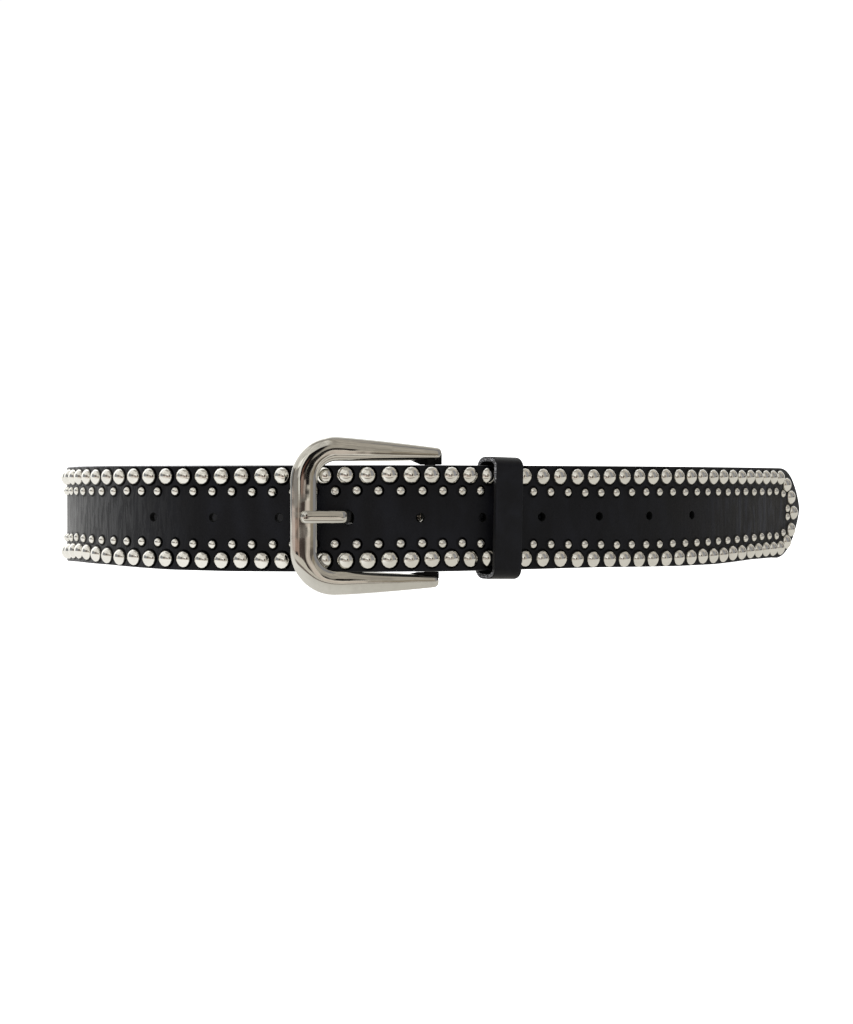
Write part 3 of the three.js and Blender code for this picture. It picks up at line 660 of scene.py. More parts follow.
# Materials
class Wiring:
    """Adds nodes to a node tree and links them, for a material or a group."""

    def __init__(self, tree):
        self.tree = tree

    def node(self, kind, inputs=None, **settings):
        node = self.tree.nodes.new(kind)
        for key, value in settings.items():
            setattr(node, key, value)
        for key, value in (inputs or {}).items():
            self.put(node.inputs[key], value)
        return node

    def put(self, socket, value):
        if isinstance(value, bpy.types.NodeSocket):
            self.tree.links.new(value, socket)
        else:
            socket.default_value = value

    def math(self, operation, first, second=0.0, clamp=False):
        inputs = {0: first, 1: second}
        return self.node("ShaderNodeMath", inputs, operation=operation, use_clamp=clamp).outputs[0]

    def part(self, vector, axis):
        return self.node("ShaderNodeSeparateXYZ", {0: vector}).outputs[axis]

    def vector(self, x, y, z):
        return self.node("ShaderNodeCombineXYZ", {"X": x, "Y": y, "Z": z}).outputs[0]

    def scaled(self, vector, scale):
        inputs = {0: vector, "Scale": scale}
        return self.node("ShaderNodeVectorMath", inputs, operation="SCALE").outputs[0]

    def ramp(self, value, low, high, start=0.0, end=1.0):
        """Carries value smoothly from the range low to high over to start to end."""
        inputs = {"Value": value, "From Min": low, "From Max": high, "To Min": start, "To Max": end}
        return self.node("ShaderNodeMapRange", inputs, interpolation_type="SMOOTHSTEP").outputs["Result"]

    def between(self, value, low, high, soft):
        """1 between low and high, with soft ends."""
        return self.math("MULTIPLY", self.ramp(value, low - soft, low + soft),
                         self.ramp(value, high - soft, high + soft, 1.0, 0.0))

    def noise(self, vector, scale, detail=2.0, roughness=0.5, distortion=0.0):
        inputs = {"Vector": vector, "Scale": scale, "Detail": detail,
                  "Roughness": roughness, "Distortion": distortion}
        return self.node("ShaderNodeTexNoise", inputs).outputs["Fac"]

    def mixed(self, share, first, second):
        node = self.node("ShaderNodeMix", data_type="RGBA")
        self.put(node.inputs["Factor"], share)
        self.put(node.inputs[6], first)
        self.put(node.inputs[7], second)
        return node.outputs[2]

    def bump(self, shader, height, strength, distance):
        """Raises and sinks the surface. A height of 1 stands out by the distance."""
        inputs = {"Height": height, "Strength": strength, "Distance": distance}
        self.put(shader.inputs["Normal"], self.node("ShaderNodeBump", inputs).outputs[0])


def group(name, inputs, outputs):
    """A shader group with named float and vector sockets, and its wiring."""
    tree = bpy.data.node_groups.new(name, "ShaderNodeTree")
    for socket_name, kind, default in inputs:
        socket = tree.interface.new_socket(socket_name, in_out="INPUT", socket_type="NodeSocket" + kind)
        if default is not None:
            socket.default_value = default
    for socket_name, kind in outputs:
        tree.interface.new_socket(socket_name, in_out="OUTPUT", socket_type="NodeSocket" + kind)
    wiring = Wiring(tree)
    return tree, wiring, wiring.node("NodeGroupInput").outputs, wiring.node("NodeGroupOutput").inputs


def leather_grain_group():
    """Pebbled grain, fine pores and slow hollows. The vector is in metres."""
    tree, w, given, out = group(
        "leather_grain",
        (("Vector", "Vector", None), ("Pebble Size", "Float", 0.0007), ("Stretch", "Float", 1.0)),
        (("Height", "Float"), ("Cloud", "Float")),
    )
    scale = w.math("DIVIDE", 1.0, given["Pebble Size"])
    parts = w.node("ShaderNodeSeparateXYZ", {0: given["Vector"]}).outputs
    squeezed = w.vector(parts["X"], w.math("DIVIDE", parts["Y"], given["Stretch"]), parts["Z"])
    inputs = {"Vector": squeezed, "Scale": w.math("MULTIPLY", scale, 0.45), "Detail": 2.0}
    stray = w.node("ShaderNodeTexNoise", inputs).outputs["Color"]
    stray = w.scaled(stray, w.math("DIVIDE", 0.9, scale))
    warped = w.node("ShaderNodeVectorMath", {0: squeezed, 1: stray}, operation="ADD").outputs[0]
    inputs = {"Vector": warped, "Scale": scale}
    cells = w.node("ShaderNodeTexVoronoi", inputs, feature="DISTANCE_TO_EDGE").outputs["Distance"]
    pores = w.noise(squeezed, w.math("MULTIPLY", scale, 3.1), 3.0, 0.6)
    w.put(out["Height"], w.math("ADD", w.ramp(cells, 0.0, 0.28), w.math("MULTIPLY", pores, 0.35)))
    w.put(out["Cloud"], w.noise(squeezed, w.math("MULTIPLY", scale, 0.05), 3.0, 0.55))
    return tree


def rub_marks_group():
    """Fine rubbed lines and soft smudges of handled metal."""
    tree, w, given, out = group(
        "rub_marks",
        (("Vector", "Vector", None), ("Scale", "Float", 900.0)),
        (("Smudge", "Float"), ("Lines", "Float")),
    )
    smudge = w.noise(given["Vector"], w.math("MULTIPLY", given["Scale"], 0.12), 3.0, 0.6)
    parts = w.node("ShaderNodeSeparateXYZ", {0: given["Vector"]}).outputs
    drawn_out = w.vector(
        w.math("MULTIPLY", parts["X"], 0.15), w.math("MULTIPLY", parts["Y"], 0.15), parts["Z"])
    w.put(out["Smudge"], smudge)
    w.put(out["Lines"], w.noise(drawn_out, given["Scale"], 2.0, 0.5))
    return tree


def shared_group(w, name, maker, inputs):
    """Outputs of a group node with these inputs. maker makes the group when it is first used."""
    tree = bpy.data.node_groups.get(name) or maker()
    return w.node("ShaderNodeGroup", inputs, node_tree=tree).outputs


def material(name):
    """A new material with its wiring and its Principled shader."""
    made = bpy.data.materials.new(name)
    made.use_nodes = True
    made.node_tree.nodes.clear()
    w = Wiring(made.node_tree)
    shader = w.node("ShaderNodeBsdfPrincipled")
    w.node("ShaderNodeOutputMaterial", {"Surface": shader.outputs["BSDF"]})
    return made, w, shader


def coordinates(w, source):
    return w.node("ShaderNodeTexCoord").outputs[source]


def rgba(colour):
    return (*colour, 1.0)


def grey(level):
    return (level, level, level, 1.0)


def strap_grain_material():
    """The strap's dyed grain side, creased near the tip, polished where it bends hard, and with a painted
    sheen there.
    """
    made, w, shader = material("strap_grain")
    finish = bpy.context.scene.belt_finishes
    where = coordinates(w, "UV")
    along = w.part(where, "X")
    grain = shared_group(w, "leather_grain", leather_grain_group,
                         {"Vector": where, "Pebble Size": 0.55 * MM, "Stretch": 2.2})
    slanted = {"Vector": where, "Rotation": (0, 0, math.radians(62)), "Scale": (1.0, 0.16, 1.0)}
    wrinkles = w.noise(w.node("ShaderNodeMapping", slanted).outputs[0], 320.0, 3.0, 0.65, 0.6)
    upright = {"Vector": where, "Scale": (1.0, 0.13, 1.0)}
    folds = w.noise(w.node("ShaderNodeMapping", upright).outputs[0], 520.0, 3.0, 0.6, 1.4)
    near_tip = w.ramp(along, *CREASES_FADE, 1.0, 0.0)
    hard_bend = w.ramp(along, *POLISH_RISES)
    tone = w.ramp(grain["Cloud"], 0.35, 0.75, 0.0, 0.3)
    hatch = w.math("MULTIPLY", near_tip, w.ramp(wrinkles, 0.49, 0.57))
    lighter = w.math("ADD", tone, hatch, clamp=True)
    plain = w.mixed(lighter, rgba(finish.leather), rgba(finish.leather_light))
    # Painted sheen in streaks along the folds, rising where the strap bends hard.
    sheen_streaks = w.math("MULTIPLY", w.ramp(along, *SHEEN_TONE_RISES), w.ramp(folds, 0.40, 0.60, 0.45, 1.0))
    w.put(shader.inputs["Base Color"], w.mixed(sheen_streaks, plain, rgba(finish.leather_sheen)))
    w.put(shader.inputs["Roughness"], w.ramp(grain["Cloud"], 0.3, 0.7, 0.4, 0.5))
    polish = w.math("MULTIPLY", hard_bend, w.ramp(folds, 0.43, 0.57, 0.3, 0.7))
    w.put(shader.inputs["Coat Weight"], polish)
    shader.inputs["Coat Roughness"].default_value = 0.4
    shader.inputs["Coat IOR"].default_value = 1.5
    shader.inputs["Specular IOR Level"].default_value = 0.13
    fold_depth = w.math("ADD", w.math("MULTIPLY", hard_bend, 0.3), 0.05)
    height = w.math("MULTIPLY", grain["Height"], 0.02)
    height = w.math("ADD", height, w.math("MULTIPLY", folds, fold_depth))
    height = w.math("ADD", height, w.math("MULTIPLY", w.math("MULTIPLY", near_tip, wrinkles), 0.3))
    w.bump(shader, height, 1.0, MM)
    return made


def keeper_leather_material():
    """Smooth, lightly polished leather."""
    made, w, shader = material("keeper_leather")
    finish = bpy.context.scene.belt_finishes
    where = coordinates(w, "Object")
    grain = shared_group(w, "leather_grain", leather_grain_group,
                         {"Vector": where, "Pebble Size": 0.4 * MM, "Stretch": 1.0})
    tone = w.ramp(grain["Cloud"], 0.35, 0.75, 0.0, 0.3)
    w.put(shader.inputs["Base Color"], w.mixed(tone, rgba(finish.leather), rgba(finish.leather_light)))
    w.put(shader.inputs["Roughness"], w.ramp(grain["Cloud"], 0.3, 0.7, 0.36, 0.44))
    shader.inputs["Specular IOR Level"].default_value = 0.16
    w.bump(shader, grain["Height"], 0.3, 0.03 * MM)
    return made


def fibre_material(name, light, light_share, roughness, grain_scale, depth, dyed_between=None):
    """Raw leather, as on a cut edge or the flesh side. Between two heights it may be painted black with
    shade.
    """
    made, w, shader = material(name)
    where = coordinates(w, "Object")
    fibres = w.noise(where, grain_scale, 4.0, 0.7, 0.6)
    specks = w.noise(where, grain_scale * 0.35, 2.0, 0.5)
    share = w.ramp(fibres, 0.47, 0.62, 0.0, light_share)
    share = w.math("MULTIPLY", share, w.ramp(specks, 0.35, 0.6, 0.3, 1.0))
    if dyed_between:
        # Between the two heights the pale fibres give way to black: painted shade.
        dyed = w.between(w.part(where, "Z"), *dyed_between, 1.5 * MM)
        share = w.math("MULTIPLY", share, w.math("SUBTRACT", 1.0, dyed))
    dark = bpy.context.scene.belt_finishes.leather
    w.put(shader.inputs["Base Color"], w.mixed(share, rgba(dark), rgba(light)))
    shader.inputs["Roughness"].default_value = roughness
    w.bump(shader, fibres, 0.7, depth)
    return made


def nickel_material(name, colour, roughness, smudge, wave):
    """Polished nickel plate with faint rubbed lines, over metal that is a little wavy."""
    made, w, shader = material(name)
    where = coordinates(w, "Object")
    marks = shared_group(w, "rub_marks", rub_marks_group, {"Vector": where, "Scale": 1400.0})
    dull = tuple(channel * 0.86 for channel in colour)
    smudged = w.ramp(marks["Smudge"], 0.4, 0.75, 0.0, 0.6)
    w.put(shader.inputs["Base Color"], w.mixed(smudged, rgba(colour), rgba(dull)))
    shader.inputs["Metallic"].default_value = 1.0
    rubbed = w.ramp(marks["Smudge"], 0.35, 0.75, roughness, roughness + smudge)
    w.put(shader.inputs["Roughness"], rubbed)
    waves = w.math("MULTIPLY", w.noise(where, 110.0, 1.0, 0.5), wave)
    w.bump(shader, w.math("ADD", w.math("MULTIPLY", marks["Lines"], 0.0006), waves), 1.0, MM)
    return made


def dark_clouds(w, shader, scale):
    """Colours a shader almost black, in slow clouds, and returns the clouds."""
    clouds = w.noise(coordinates(w, "Object"), scale, 3.0, 0.6)
    w.put(shader.inputs["Base Color"], w.mixed(clouds, grey(0.001), grey(0.004)))
    return clouds


def shade_dark_metal_material(name):
    """Near-black, unpolished metal of the lugs and the heel bar, next to the leather: painted shade."""
    made, w, shader = material(name)
    clouds = dark_clouds(w, shader, 800.0)
    w.put(shader.inputs["Roughness"], w.ramp(clouds, 0.3, 0.7, 0.35, 0.5))
    shader.inputs["Specular IOR Level"].default_value = 0.1
    return made


def stud_shade_ring_material(name):
    """Painted shade round a stud: black on the side of the strap's tip, and plain leather on the other."""
    made, w, shader = material(name)
    finish = bpy.context.scene.belt_finishes
    plain = w.ramp(w.part(coordinates(w, "UV"), "X"), 0.25, 1.0)
    w.put(shader.inputs["Base Color"], w.mixed(plain, grey(0.0006), rgba(finish.leather)))
    # Black metal reflects almost nothing, so the painted shade stays dark.
    w.put(shader.inputs["Metallic"], w.math("SUBTRACT", 1.0, plain))
    shader.inputs["Roughness"].default_value = 0.45
    shader.inputs["Specular IOR Level"].default_value = 0.13
    return made


def hole_wall_material():
    """Dull dark leather in the punched holes."""
    made, w, shader = material("hole_wall")
    dark_clouds(w, shader, 1500.0)
    shader.inputs["Roughness"].default_value = 0.9
    shader.inputs["Specular IOR Level"].default_value = 0.05
    return made


def shared_material(name, maker, **values):
    return bpy.data.materials.get(name) or maker(name, **values)


def keeper_edge_material():
    low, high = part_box("keeper")
    # Between the pale top and foot the keeper's cut edge carries painted shade.
    return shared_material(
        "keeper_edge", fibre_material, light=bpy.context.scene.belt_finishes.cut_edge, light_share=1.0,
        roughness=0.6, grain_scale=2300.0, depth=0.12 * MM,
        dyed_between=(low.z + KEEPER_PALE_FOOT * MM, high.z - KEEPER_PALE_TOP * MM))


def corner_highlight_material():
    """Painted highlight in pale specks on the front corner of the strap's upper edge, at the hard bend."""
    made, w, shader = material("upper_corner_highlight")
    finish = bpy.context.scene.belt_finishes
    where = coordinates(w, "UV")
    specks = w.ramp(w.noise(where, 1500.0, 3.0, 0.6), 0.3, 0.6, 0.6, 1.0)
    share = w.math("MULTIPLY", w.ramp(w.part(where, "X"), *CORNER_HIGHLIGHT_RISES), specks)
    w.put(shader.inputs["Base Color"], w.mixed(share, rgba(finish.leather), rgba(finish.cut_edge)))
    shader.inputs["Roughness"].default_value = 0.6
    return made


def burnished_edge_material():
    light = bpy.context.scene.belt_finishes.leather_light
    return shared_material("burnished_edge", fibre_material, light=light, light_share=0.8,
                           roughness=0.3, grain_scale=1500.0, depth=0.02 * MM)


def flesh_side_material():
    light = bpy.context.scene.belt_finishes.leather_light
    return shared_material("flesh_side", fibre_material, light=light, light_share=0.7,
                           roughness=0.85, grain_scale=900.0, depth=0.1 * MM)


def frame_nickel():
    return shared_material("buckle_nickel", nickel_material,
                           colour=bpy.context.scene.belt_finishes.nickel,
                           roughness=0.03, smudge=0.04, wave=0.09)


def stud_nickel():
    return shared_material("stud_nickel", nickel_material,
                           colour=bpy.context.scene.belt_finishes.stud_nickel,
                           roughness=0.06, smudge=0.05, wave=0.0)


def shade_dark_nickel():
    return shared_material("lug_nickel", shade_dark_metal_material)


def strap_plan():
    return BeltPlan(bpy.context.scene.belt_strap)


# Strap
def tip_edge(along, half_width, side):
    """Place across the strap of its upper (1) or lower (-1) edge, in millimetres."""
    reach = TIP_UPPER_CORNER if side > 0 else TIP_LENGTH
    left = 1 - min(reach, max(0, along - TIP_AT)) / reach
    share = (1 - left ** TIP_FULLNESS) ** TIP_BLUNTNESS
    return TIP_NOSE_RISE + (side * half_width - TIP_NOSE_RISE) * share


class TipOutline:
    """One edge of the tip, from the nose to the full width, walked by its own length."""

    def __init__(self, half_width, side):
        steps = 200
        self.places = []
        for step in range(steps + 1):
            along = TIP_AT + TIP_LENGTH * (step / steps) ** 2
            self.places.append(Vector((along, tip_edge(along, half_width, side))))
        self.distances = [0.0]
        for near, far in zip(self.places, self.places[1:]):
            self.distances.append(self.distances[-1] + (far - near).length)
        self.corner = TIP_CORNER_SHARE * self.distances[-1]

    def at(self, distance):
        for index in range(1, len(self.distances)):
            if distance <= self.distances[index]:
                span = self.distances[index] - self.distances[index - 1]
                share = (distance - self.distances[index - 1]) / span
                return self.places[index - 1].lerp(self.places[index], share)
        return self.places[-1]

    def flank(self, share):
        return self.at(self.corner + (self.distances[-1] - self.corner) * share)


def tip_place(upper, lower, along, across):
    """Place of a grid point on the tip: along runs from 0 at the nose to 1, across from -1 to 1."""
    edge = upper if across > 0 else lower
    nose = edge.at(abs(across) * edge.corner)
    up = (1 + across) / 2
    far = lower.flank(1).lerp(upper.flank(1), up)
    level = lower.flank(along).lerp(upper.flank(along), up)
    corners = lower.flank(0).lerp(upper.flank(0), up).lerp(far, along)
    return nose.lerp(far, along) + level - corners


def hole_stations(strap):
    return [strap.hole_first / MM + hole * strap.hole_pitch / MM + HOLE_SHIFTS[hole % len(HOLE_SHIFTS)]
            for hole in range(strap.hole_count)]


def strap_stations(plan, strap):
    """Places of the strap's cross lines past the tip, in millimetres. The holes lie on them."""
    holes = hole_stations(strap)
    step = strap.hole_pitch / MM / LINES_PER_HOLE
    slot_start = plan.fold - FOLD_SLOT_REACH
    steps_before = math.floor((holes[0] - TIP_AT - TIP_LENGTH - 1) / step)
    steps_after = math.floor((slot_start - 1 - holes[-1]) / step)
    stations = [TIP_AT + TIP_LENGTH] + [holes[0] - step * left for left in range(steps_before, 0, -1)]
    for near, far in zip(holes, holes[1:]):
        stations += [near + (far - near) * part / LINES_PER_HOLE for part in range(LINES_PER_HOLE)]
    stations += [holes[-1] + step * part for part in range(steps_after + 1)]
    stations += [slot_start, plan.fold - FOLD_SLOT_REACH / 2]
    stations += [plan.fold + plan.fold_run * part / FOLD_STEPS for part in range(FOLD_STEPS + 1)]
    after = plan.fold + plan.fold_run
    slot_end = after + FOLD_SLOT_REACH
    tab = plan.tab_run - FOLD_SLOT_REACH
    stations += [after + FOLD_SLOT_REACH / 2]
    stations += [slot_end + tab * part / TAB_LINES for part in range(TAB_LINES + 1)]
    return stations


def flat_strap(plan, strap):
    """The strap as a flat sheet, its grid drawn round the tip and out to the cut edges."""
    stations = strap_stations(plan, strap)
    columns = TIP_COLUMNS + len(stations) - 1
    band = added("strap_leather", bpy.ops.mesh.primitive_grid_add,
                 x_subdivisions=columns, y_subdivisions=STRAP_ROWS, size=1)
    upper = TipOutline(plan.half_width, 1)
    lower = TipOutline(plan.half_width, -1)
    for vertex in band.data.vertices:
        column = round((vertex.co.x + 0.5) * columns)
        across = -round((vertex.co.y + 0.5) * STRAP_ROWS) / STRAP_ROWS * 2 + 1
        if column < TIP_COLUMNS:
            place = tip_place(upper, lower, column / TIP_COLUMNS, across)
        else:
            place = Vector((stations[column - TIP_COLUMNS], across * plan.half_width))
            place.y += abs(across) ** 3 * value_at(UPPER_EDGE if across > 0 else LOWER_EDGE, place.x)
        vertex.co = Vector((place.x, 0, place.y)) * MM
    return band


def near_holes(centres, reach_along, reach_across):
    """Picks the faces whose middles lie near a hole's centre."""
    return faces_where(lambda middle: abs(middle.z) < reach_across and any(
        abs(middle.x - centre) < reach_along for centre in centres))


def punch_holes(band, strap):
    """Opens a hole round each centre, a point of the grid. The prong's hole is drawn out in height."""
    centres = [station * MM for station in hole_stations(strap)]
    step = strap.hole_pitch / LINES_PER_HOLE
    row = strap.width / STRAP_ROWS
    in_edit_mode(
        band, near_holes(centres, 0.8 * step, 0.8 * row),
        lambda: bpy.ops.mesh.subdivide(number_cuts=1),
        lambda: bpy.ops.mesh.inset(thickness=0.8 * MM),
    )
    mesh = bmesh.new()
    mesh.from_mesh(band.data)
    inner = [face for face in mesh.faces if face.select]
    for vertex in {vertex for face in inner for vertex in face.verts}:
        if all(face.select for face in vertex.link_faces):
            continue
        hole = min(range(len(centres)), key=lambda index: abs(centres[index] - vertex.co.x))
        prongs = hole == strap.prong_hole
        angle = math.atan2(vertex.co.z, vertex.co.x - centres[hole])
        angle = round(angle / (math.pi / 8)) * math.pi / 8
        half_length = PRONG_HOLE_HALF_LENGTH * MM if prongs else strap.hole_radius
        half_height = PRONG_HOLE_HALF_HEIGHT * MM if prongs else strap.hole_radius
        vertex.co.x = centres[hole] + half_length * math.cos(angle)
        vertex.co.z = half_height * math.sin(angle)
    bmesh.ops.delete(mesh, geom=inner, context="FACES")
    mesh.to_mesh(band.data)
    mesh.free()


def open_fold_slot(band, plan):
    """Opens the fold for the prong's eye."""
    start = (plan.fold - FOLD_SLOT_REACH) * MM
    end = (plan.fold + plan.fold_run + FOLD_SLOT_REACH) * MM
    half_height = FOLD_SLOT_HALF_HEIGHT * MM
    in_edit_mode(
        band,
        faces_where(lambda middle: start < middle.x < end and abs(middle.z) < half_height),
        lambda: bpy.ops.mesh.delete(type="FACE"),
    )


def darken_hole_walls(band, strap, wall_index):
    """Gives the walls of the holes and of the fold's slot their own material."""
    past_tip = strap.hole_first - strap.hole_pitch / 2
    for face in band.data.polygons:
        if face.center.x > past_tip and abs(face.center.z) < 5 * MM and abs(face.normal.y) < 0.9:
            face.material_index = wall_index


def highlight_upper_corner(band, strap, highlight_index):
    """Gives the rounded front corner of the upper edge the material of its painted highlight past the
    buckle.
    """
    start, end = CORNER_HIGHLIGHT_SPAN
    for face in band.data.polygons:
        # The stretch along the strap that carries the painted highlight
        worn = start < face.center.x < end
        high = face.center.z > strap.width / 2 - 1.2 * strap.edge_round
        if worn and high and face.normal.y > 0.1 and face.normal.z > 0.1:
            face.material_index = highlight_index


class BELT_OT_strap(bpy.types.Operator):
    """Make the leather strap: tip, punched holes, fold and tab, bent round the waist."""

    bl_idname = "belt.strap"
    bl_label = "Strap"

    def execute(self, context):
        strap = context.scene.belt_strap
        plan = strap_plan()
        band = flat_strap(plan, strap)
        punch_holes(band, strap)
        open_fold_slot(band, plan)
        coated(band, strap_grain_material(), flesh_side_material(), burnished_edge_material(),
               hole_wall_material(), corner_highlight_material())
        thickened(band, strap.thickness, strap.edge_round, use_clamp_overlap=False)
        darken_hole_walls(band, strap, 3)
        highlight_upper_corner(band, strap, 4)
        unwrapped_flat(band)
        bent_along_strap(band, plan)
        evenly_shaded(band)
        settled(band, plan)
        finished(band, "leather")
        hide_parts("strap")
        return {"FINISHED"}


# Studs
def stud_dome(name, radius, height, segments, rings, wall=0.0):
    """One stud at the origin, its top towards +Y: a cap of a ball, on a wall where it has one."""
    rise = height * (1 - wall)
    ball = (radius ** 2 + rise ** 2) / (2 * rise)
    dome = added(name, bpy.ops.mesh.primitive_uv_sphere_add, segments=segments, ring_count=rings,
                 radius=ball, rotation=(-math.pi / 2, 0, 0))
    sunk = STUD_SUNK * MM
    cut = {"plane_co": (0, ball - rise - (0 if wall else sunk), 0), "plane_no": (0, 1, 0)}
    in_edit_mode(
        dome,
        lambda mesh: mesh.faces,
        lambda: bpy.ops.mesh.bisect(**cut, clear_inner=True, use_fill=True),
    )
    if wall:
        down = (0, -height * wall - sunk, 0)
        in_edit_mode(
            dome,
            lambda mesh: [face for face in mesh.faces if face.normal.y < -0.9],
            lambda: bpy.ops.mesh.extrude_region_move(TRANSFORM_OT_translate={"value": down}),
        )
    dome.data.transform(Matrix.Translation((0, height - ball, 0)))
    return dome


def painted_shade_ring(name, radius, reach, segments):
    """A flat ring of painted shade at the origin that faces +Y. Its U runs along the strap, from 0 on the
    tip's side.
    """
    ring = added(name, bpy.ops.mesh.primitive_circle_add, vertices=segments, radius=radius + reach,
                 fill_type="NGON", rotation=(-math.pi / 2, 0, 0))
    in_edit_mode(
        ring,
        lambda mesh: mesh.faces,
        lambda: bpy.ops.mesh.inset(thickness=reach + SHADE_RING_UNDER_STUD * MM),
        lambda: bpy.ops.mesh.delete(type="FACE"),
    )
    return ring


def spread(dome, name, spots, unevenness, seed, tilt=3):
    """Copies of a stud at places on the flat strap, in millimetres, each set a little unevenly."""
    draws = random.Random(seed)
    mesh = bmesh.new()
    for spot in spots:
        copy_start = len(mesh.verts)
        mesh.from_mesh(dome.data)
        mesh.verts.ensure_lookup_table()
        shift = Vector((
            spot.along * MM + draws.uniform(-unevenness, unevenness),
            0,
            spot.across * MM + draws.uniform(-unevenness, unevenness),
        ))
        turn = Matrix.Rotation(math.radians(draws.uniform(-tilt, tilt)), 3, "X") @ Matrix.Rotation(
            math.radians(draws.uniform(-tilt, tilt)), 3, "Z")
        for vertex in mesh.verts[copy_start:]:
            vertex.co = turn @ vertex.co + shift
    field = bpy.data.meshes.new(name)
    mesh.to_mesh(field)
    mesh.free()
    bpy.data.objects.remove(dome)
    studs = bpy.data.objects.new(name, field)
    bpy.context.scene.collection.objects.link(studs)
    return studs


def row_spots(plan, first, pitch, row, last, along, upper, lower):
    """Places of an upper and a lower row, beside the strap's edges, with the drift of each."""
    spots = []
    inset = plan.half_width - row
    station = first
    while station < last:
        place = station + value_at(along, station)
        spots.append(Spot(place, tip_edge(place, plan.half_width, 1) - inset + value_at(upper, station)))
        spots.append(Spot(place, tip_edge(place, plan.half_width, -1) + inset + value_at(lower, station)))
        station += pitch
    return spots


def stud_shade_rings(plan, name, radius, spots, seed):
    """Rings of painted shade under a field of studs, kept within the strap's edges."""
    studs = bpy.context.scene.belt_studs
    ring = painted_shade_ring(name, radius, studs.shade_ring_reach, 16)
    seats = spread(ring, name, spots, studs.unevenness, seed, 0)
    for vertex in seats.data.vertices:
        along = vertex.co.x / MM
        low_edge = value_at(LOWER_EDGE, along) if along > LOWER_EDGE[0].station else 0
        top = tip_edge(along, plan.half_width, 1) - SHADE_RING_FROM_EDGE
        bottom = tip_edge(along, plan.half_width, -1) + low_edge + SHADE_RING_FROM_EDGE
        vertex.co.z = min(top, max(bottom, vertex.co.z / MM)) * MM
        vertex.co.y = SHADE_RING_LIFT * MM
    bent_along_strap(seats, plan)
    settled(seats, plan)
    finished(seats, "leather", shared_material("stud_seat", stud_shade_ring_material))


def stud_field(kind, tip_spots, row, drifts, size, faces, seed):
    """Studs of a kind on the bent strap: those round the tip, and a row along each edge."""
    studs = bpy.context.scene.belt_studs
    plan = strap_plan()
    first, from_middle = row
    radius, height = size
    pitch = studs.pitch / MM
    last = plan.fold - studs.clear_of_fold / MM - pitch / 2
    rows = row_spots(plan, first / MM, pitch, from_middle / MM, last, *drifts)
    spots = list(tip_spots) + rows
    stud_shade_rings(plan, kind + "_stud_seats", radius, spots, seed)
    dome = stud_dome(kind + "_stud", radius, height, *faces, studs.wall)
    field = spread(dome, kind + "_studs", spots, studs.unevenness, seed)
    bent_along_strap(field, plan)
    settled(field, plan)
    finished(field, "nickel", stud_nickel())


class BELT_OT_large_studs(bpy.types.Operator):
    """Make the rows of large domed studs along both edges and round the tip."""

    bl_idname = "belt.large_studs"
    bl_label = "Large studs"

    def execute(self, context):
        studs = context.scene.belt_studs
        stud_field("large", TIP_STUDS, row=(studs.first, studs.row),
                   drifts=(LARGE_ALONG, UPPER_LARGE, LOWER_LARGE),
                   size=(studs.radius, studs.height), faces=(14, 14), seed=7)
        return {"FINISHED"}


class BELT_OT_small_studs(bpy.types.Operator):
    """Make the inner rows of small domed studs."""

    bl_idname = "belt.small_studs"
    bl_label = "Small studs"

    def execute(self, context):
        studs = context.scene.belt_studs
        stud_field("small", TIP_SMALL_STUDS, row=(studs.small_first, studs.small_row),
                   drifts=(SMALL_ALONG, UPPER_SMALL, LOWER_SMALL),
                   size=(studs.small_radius, studs.small_height), faces=(10, 11), seed=11)
        return {"FINISHED"}


# Keeper
class BELT_OT_keeper(bpy.types.Operator):
    """Make the leather keeper that holds the tip down."""

    bl_idname = "belt.keeper"
    bl_label = "Keeper"

    def execute(self, context):
        keeper = context.scene.belt_keeper
        plan = strap_plan()
        pose, depth = keeper_middle(plan, keeper.slid / MM, context.scene.belt_studs.height / MM)
        half_depth = depth * MM / 2 + keeper.thickness
        squeeze = keeper.corner_height / keeper.corner_depth
        half_height = plan.half_width * MM + KEEPER_ABOVE_EDGE * MM + keeper.thickness
        along = (keeper.width, 0, 0)
        loop = added("keeper_leather", bpy.ops.mesh.primitive_plane_add, size=2)
        for vertex in loop.data.vertices:
            depth_place = vertex.co.x * half_depth * squeeze
            vertex.co = Vector((-keeper.width / 2, depth_place, vertex.co.y * half_height))
        in_edit_mode(
            loop,
            lambda mesh: mesh.verts,
            lambda: bpy.ops.mesh.bevel(offset=keeper.corner_height, segments=8, affect="VERTICES"),
            lambda: bpy.ops.mesh.select_all(action="SELECT"),
            lambda: bpy.ops.mesh.delete(type="ONLY_FACE"),
            lambda: bpy.ops.mesh.select_all(action="SELECT"),
            lambda: bpy.ops.mesh.extrude_edges_move(TRANSFORM_OT_translate={"value": along}),
        )
        loop.data.transform(Matrix.Diagonal((1, 1 / squeeze, 1, 1)))
        outward_faces(loop)
        coated(loop, keeper_leather_material(), flesh_side_material(), keeper_edge_material())
        thickened(loop, keeper.thickness, 0.3 * MM, material=0)
        evenly_shaded(loop)
        place = Matrix.Translation(Vector((pose.x, pose.y, -BASE_DROP / 2)) * MM)
        turn = Matrix.Rotation(pose.heading, 4, "Z") @ Matrix.Rotation(-keeper.askew, 4, "Y")
        settled(loop, plan, place @ turn)
        finished(loop, "leather")
        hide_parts("keeper")
        return {"FINISHED"}


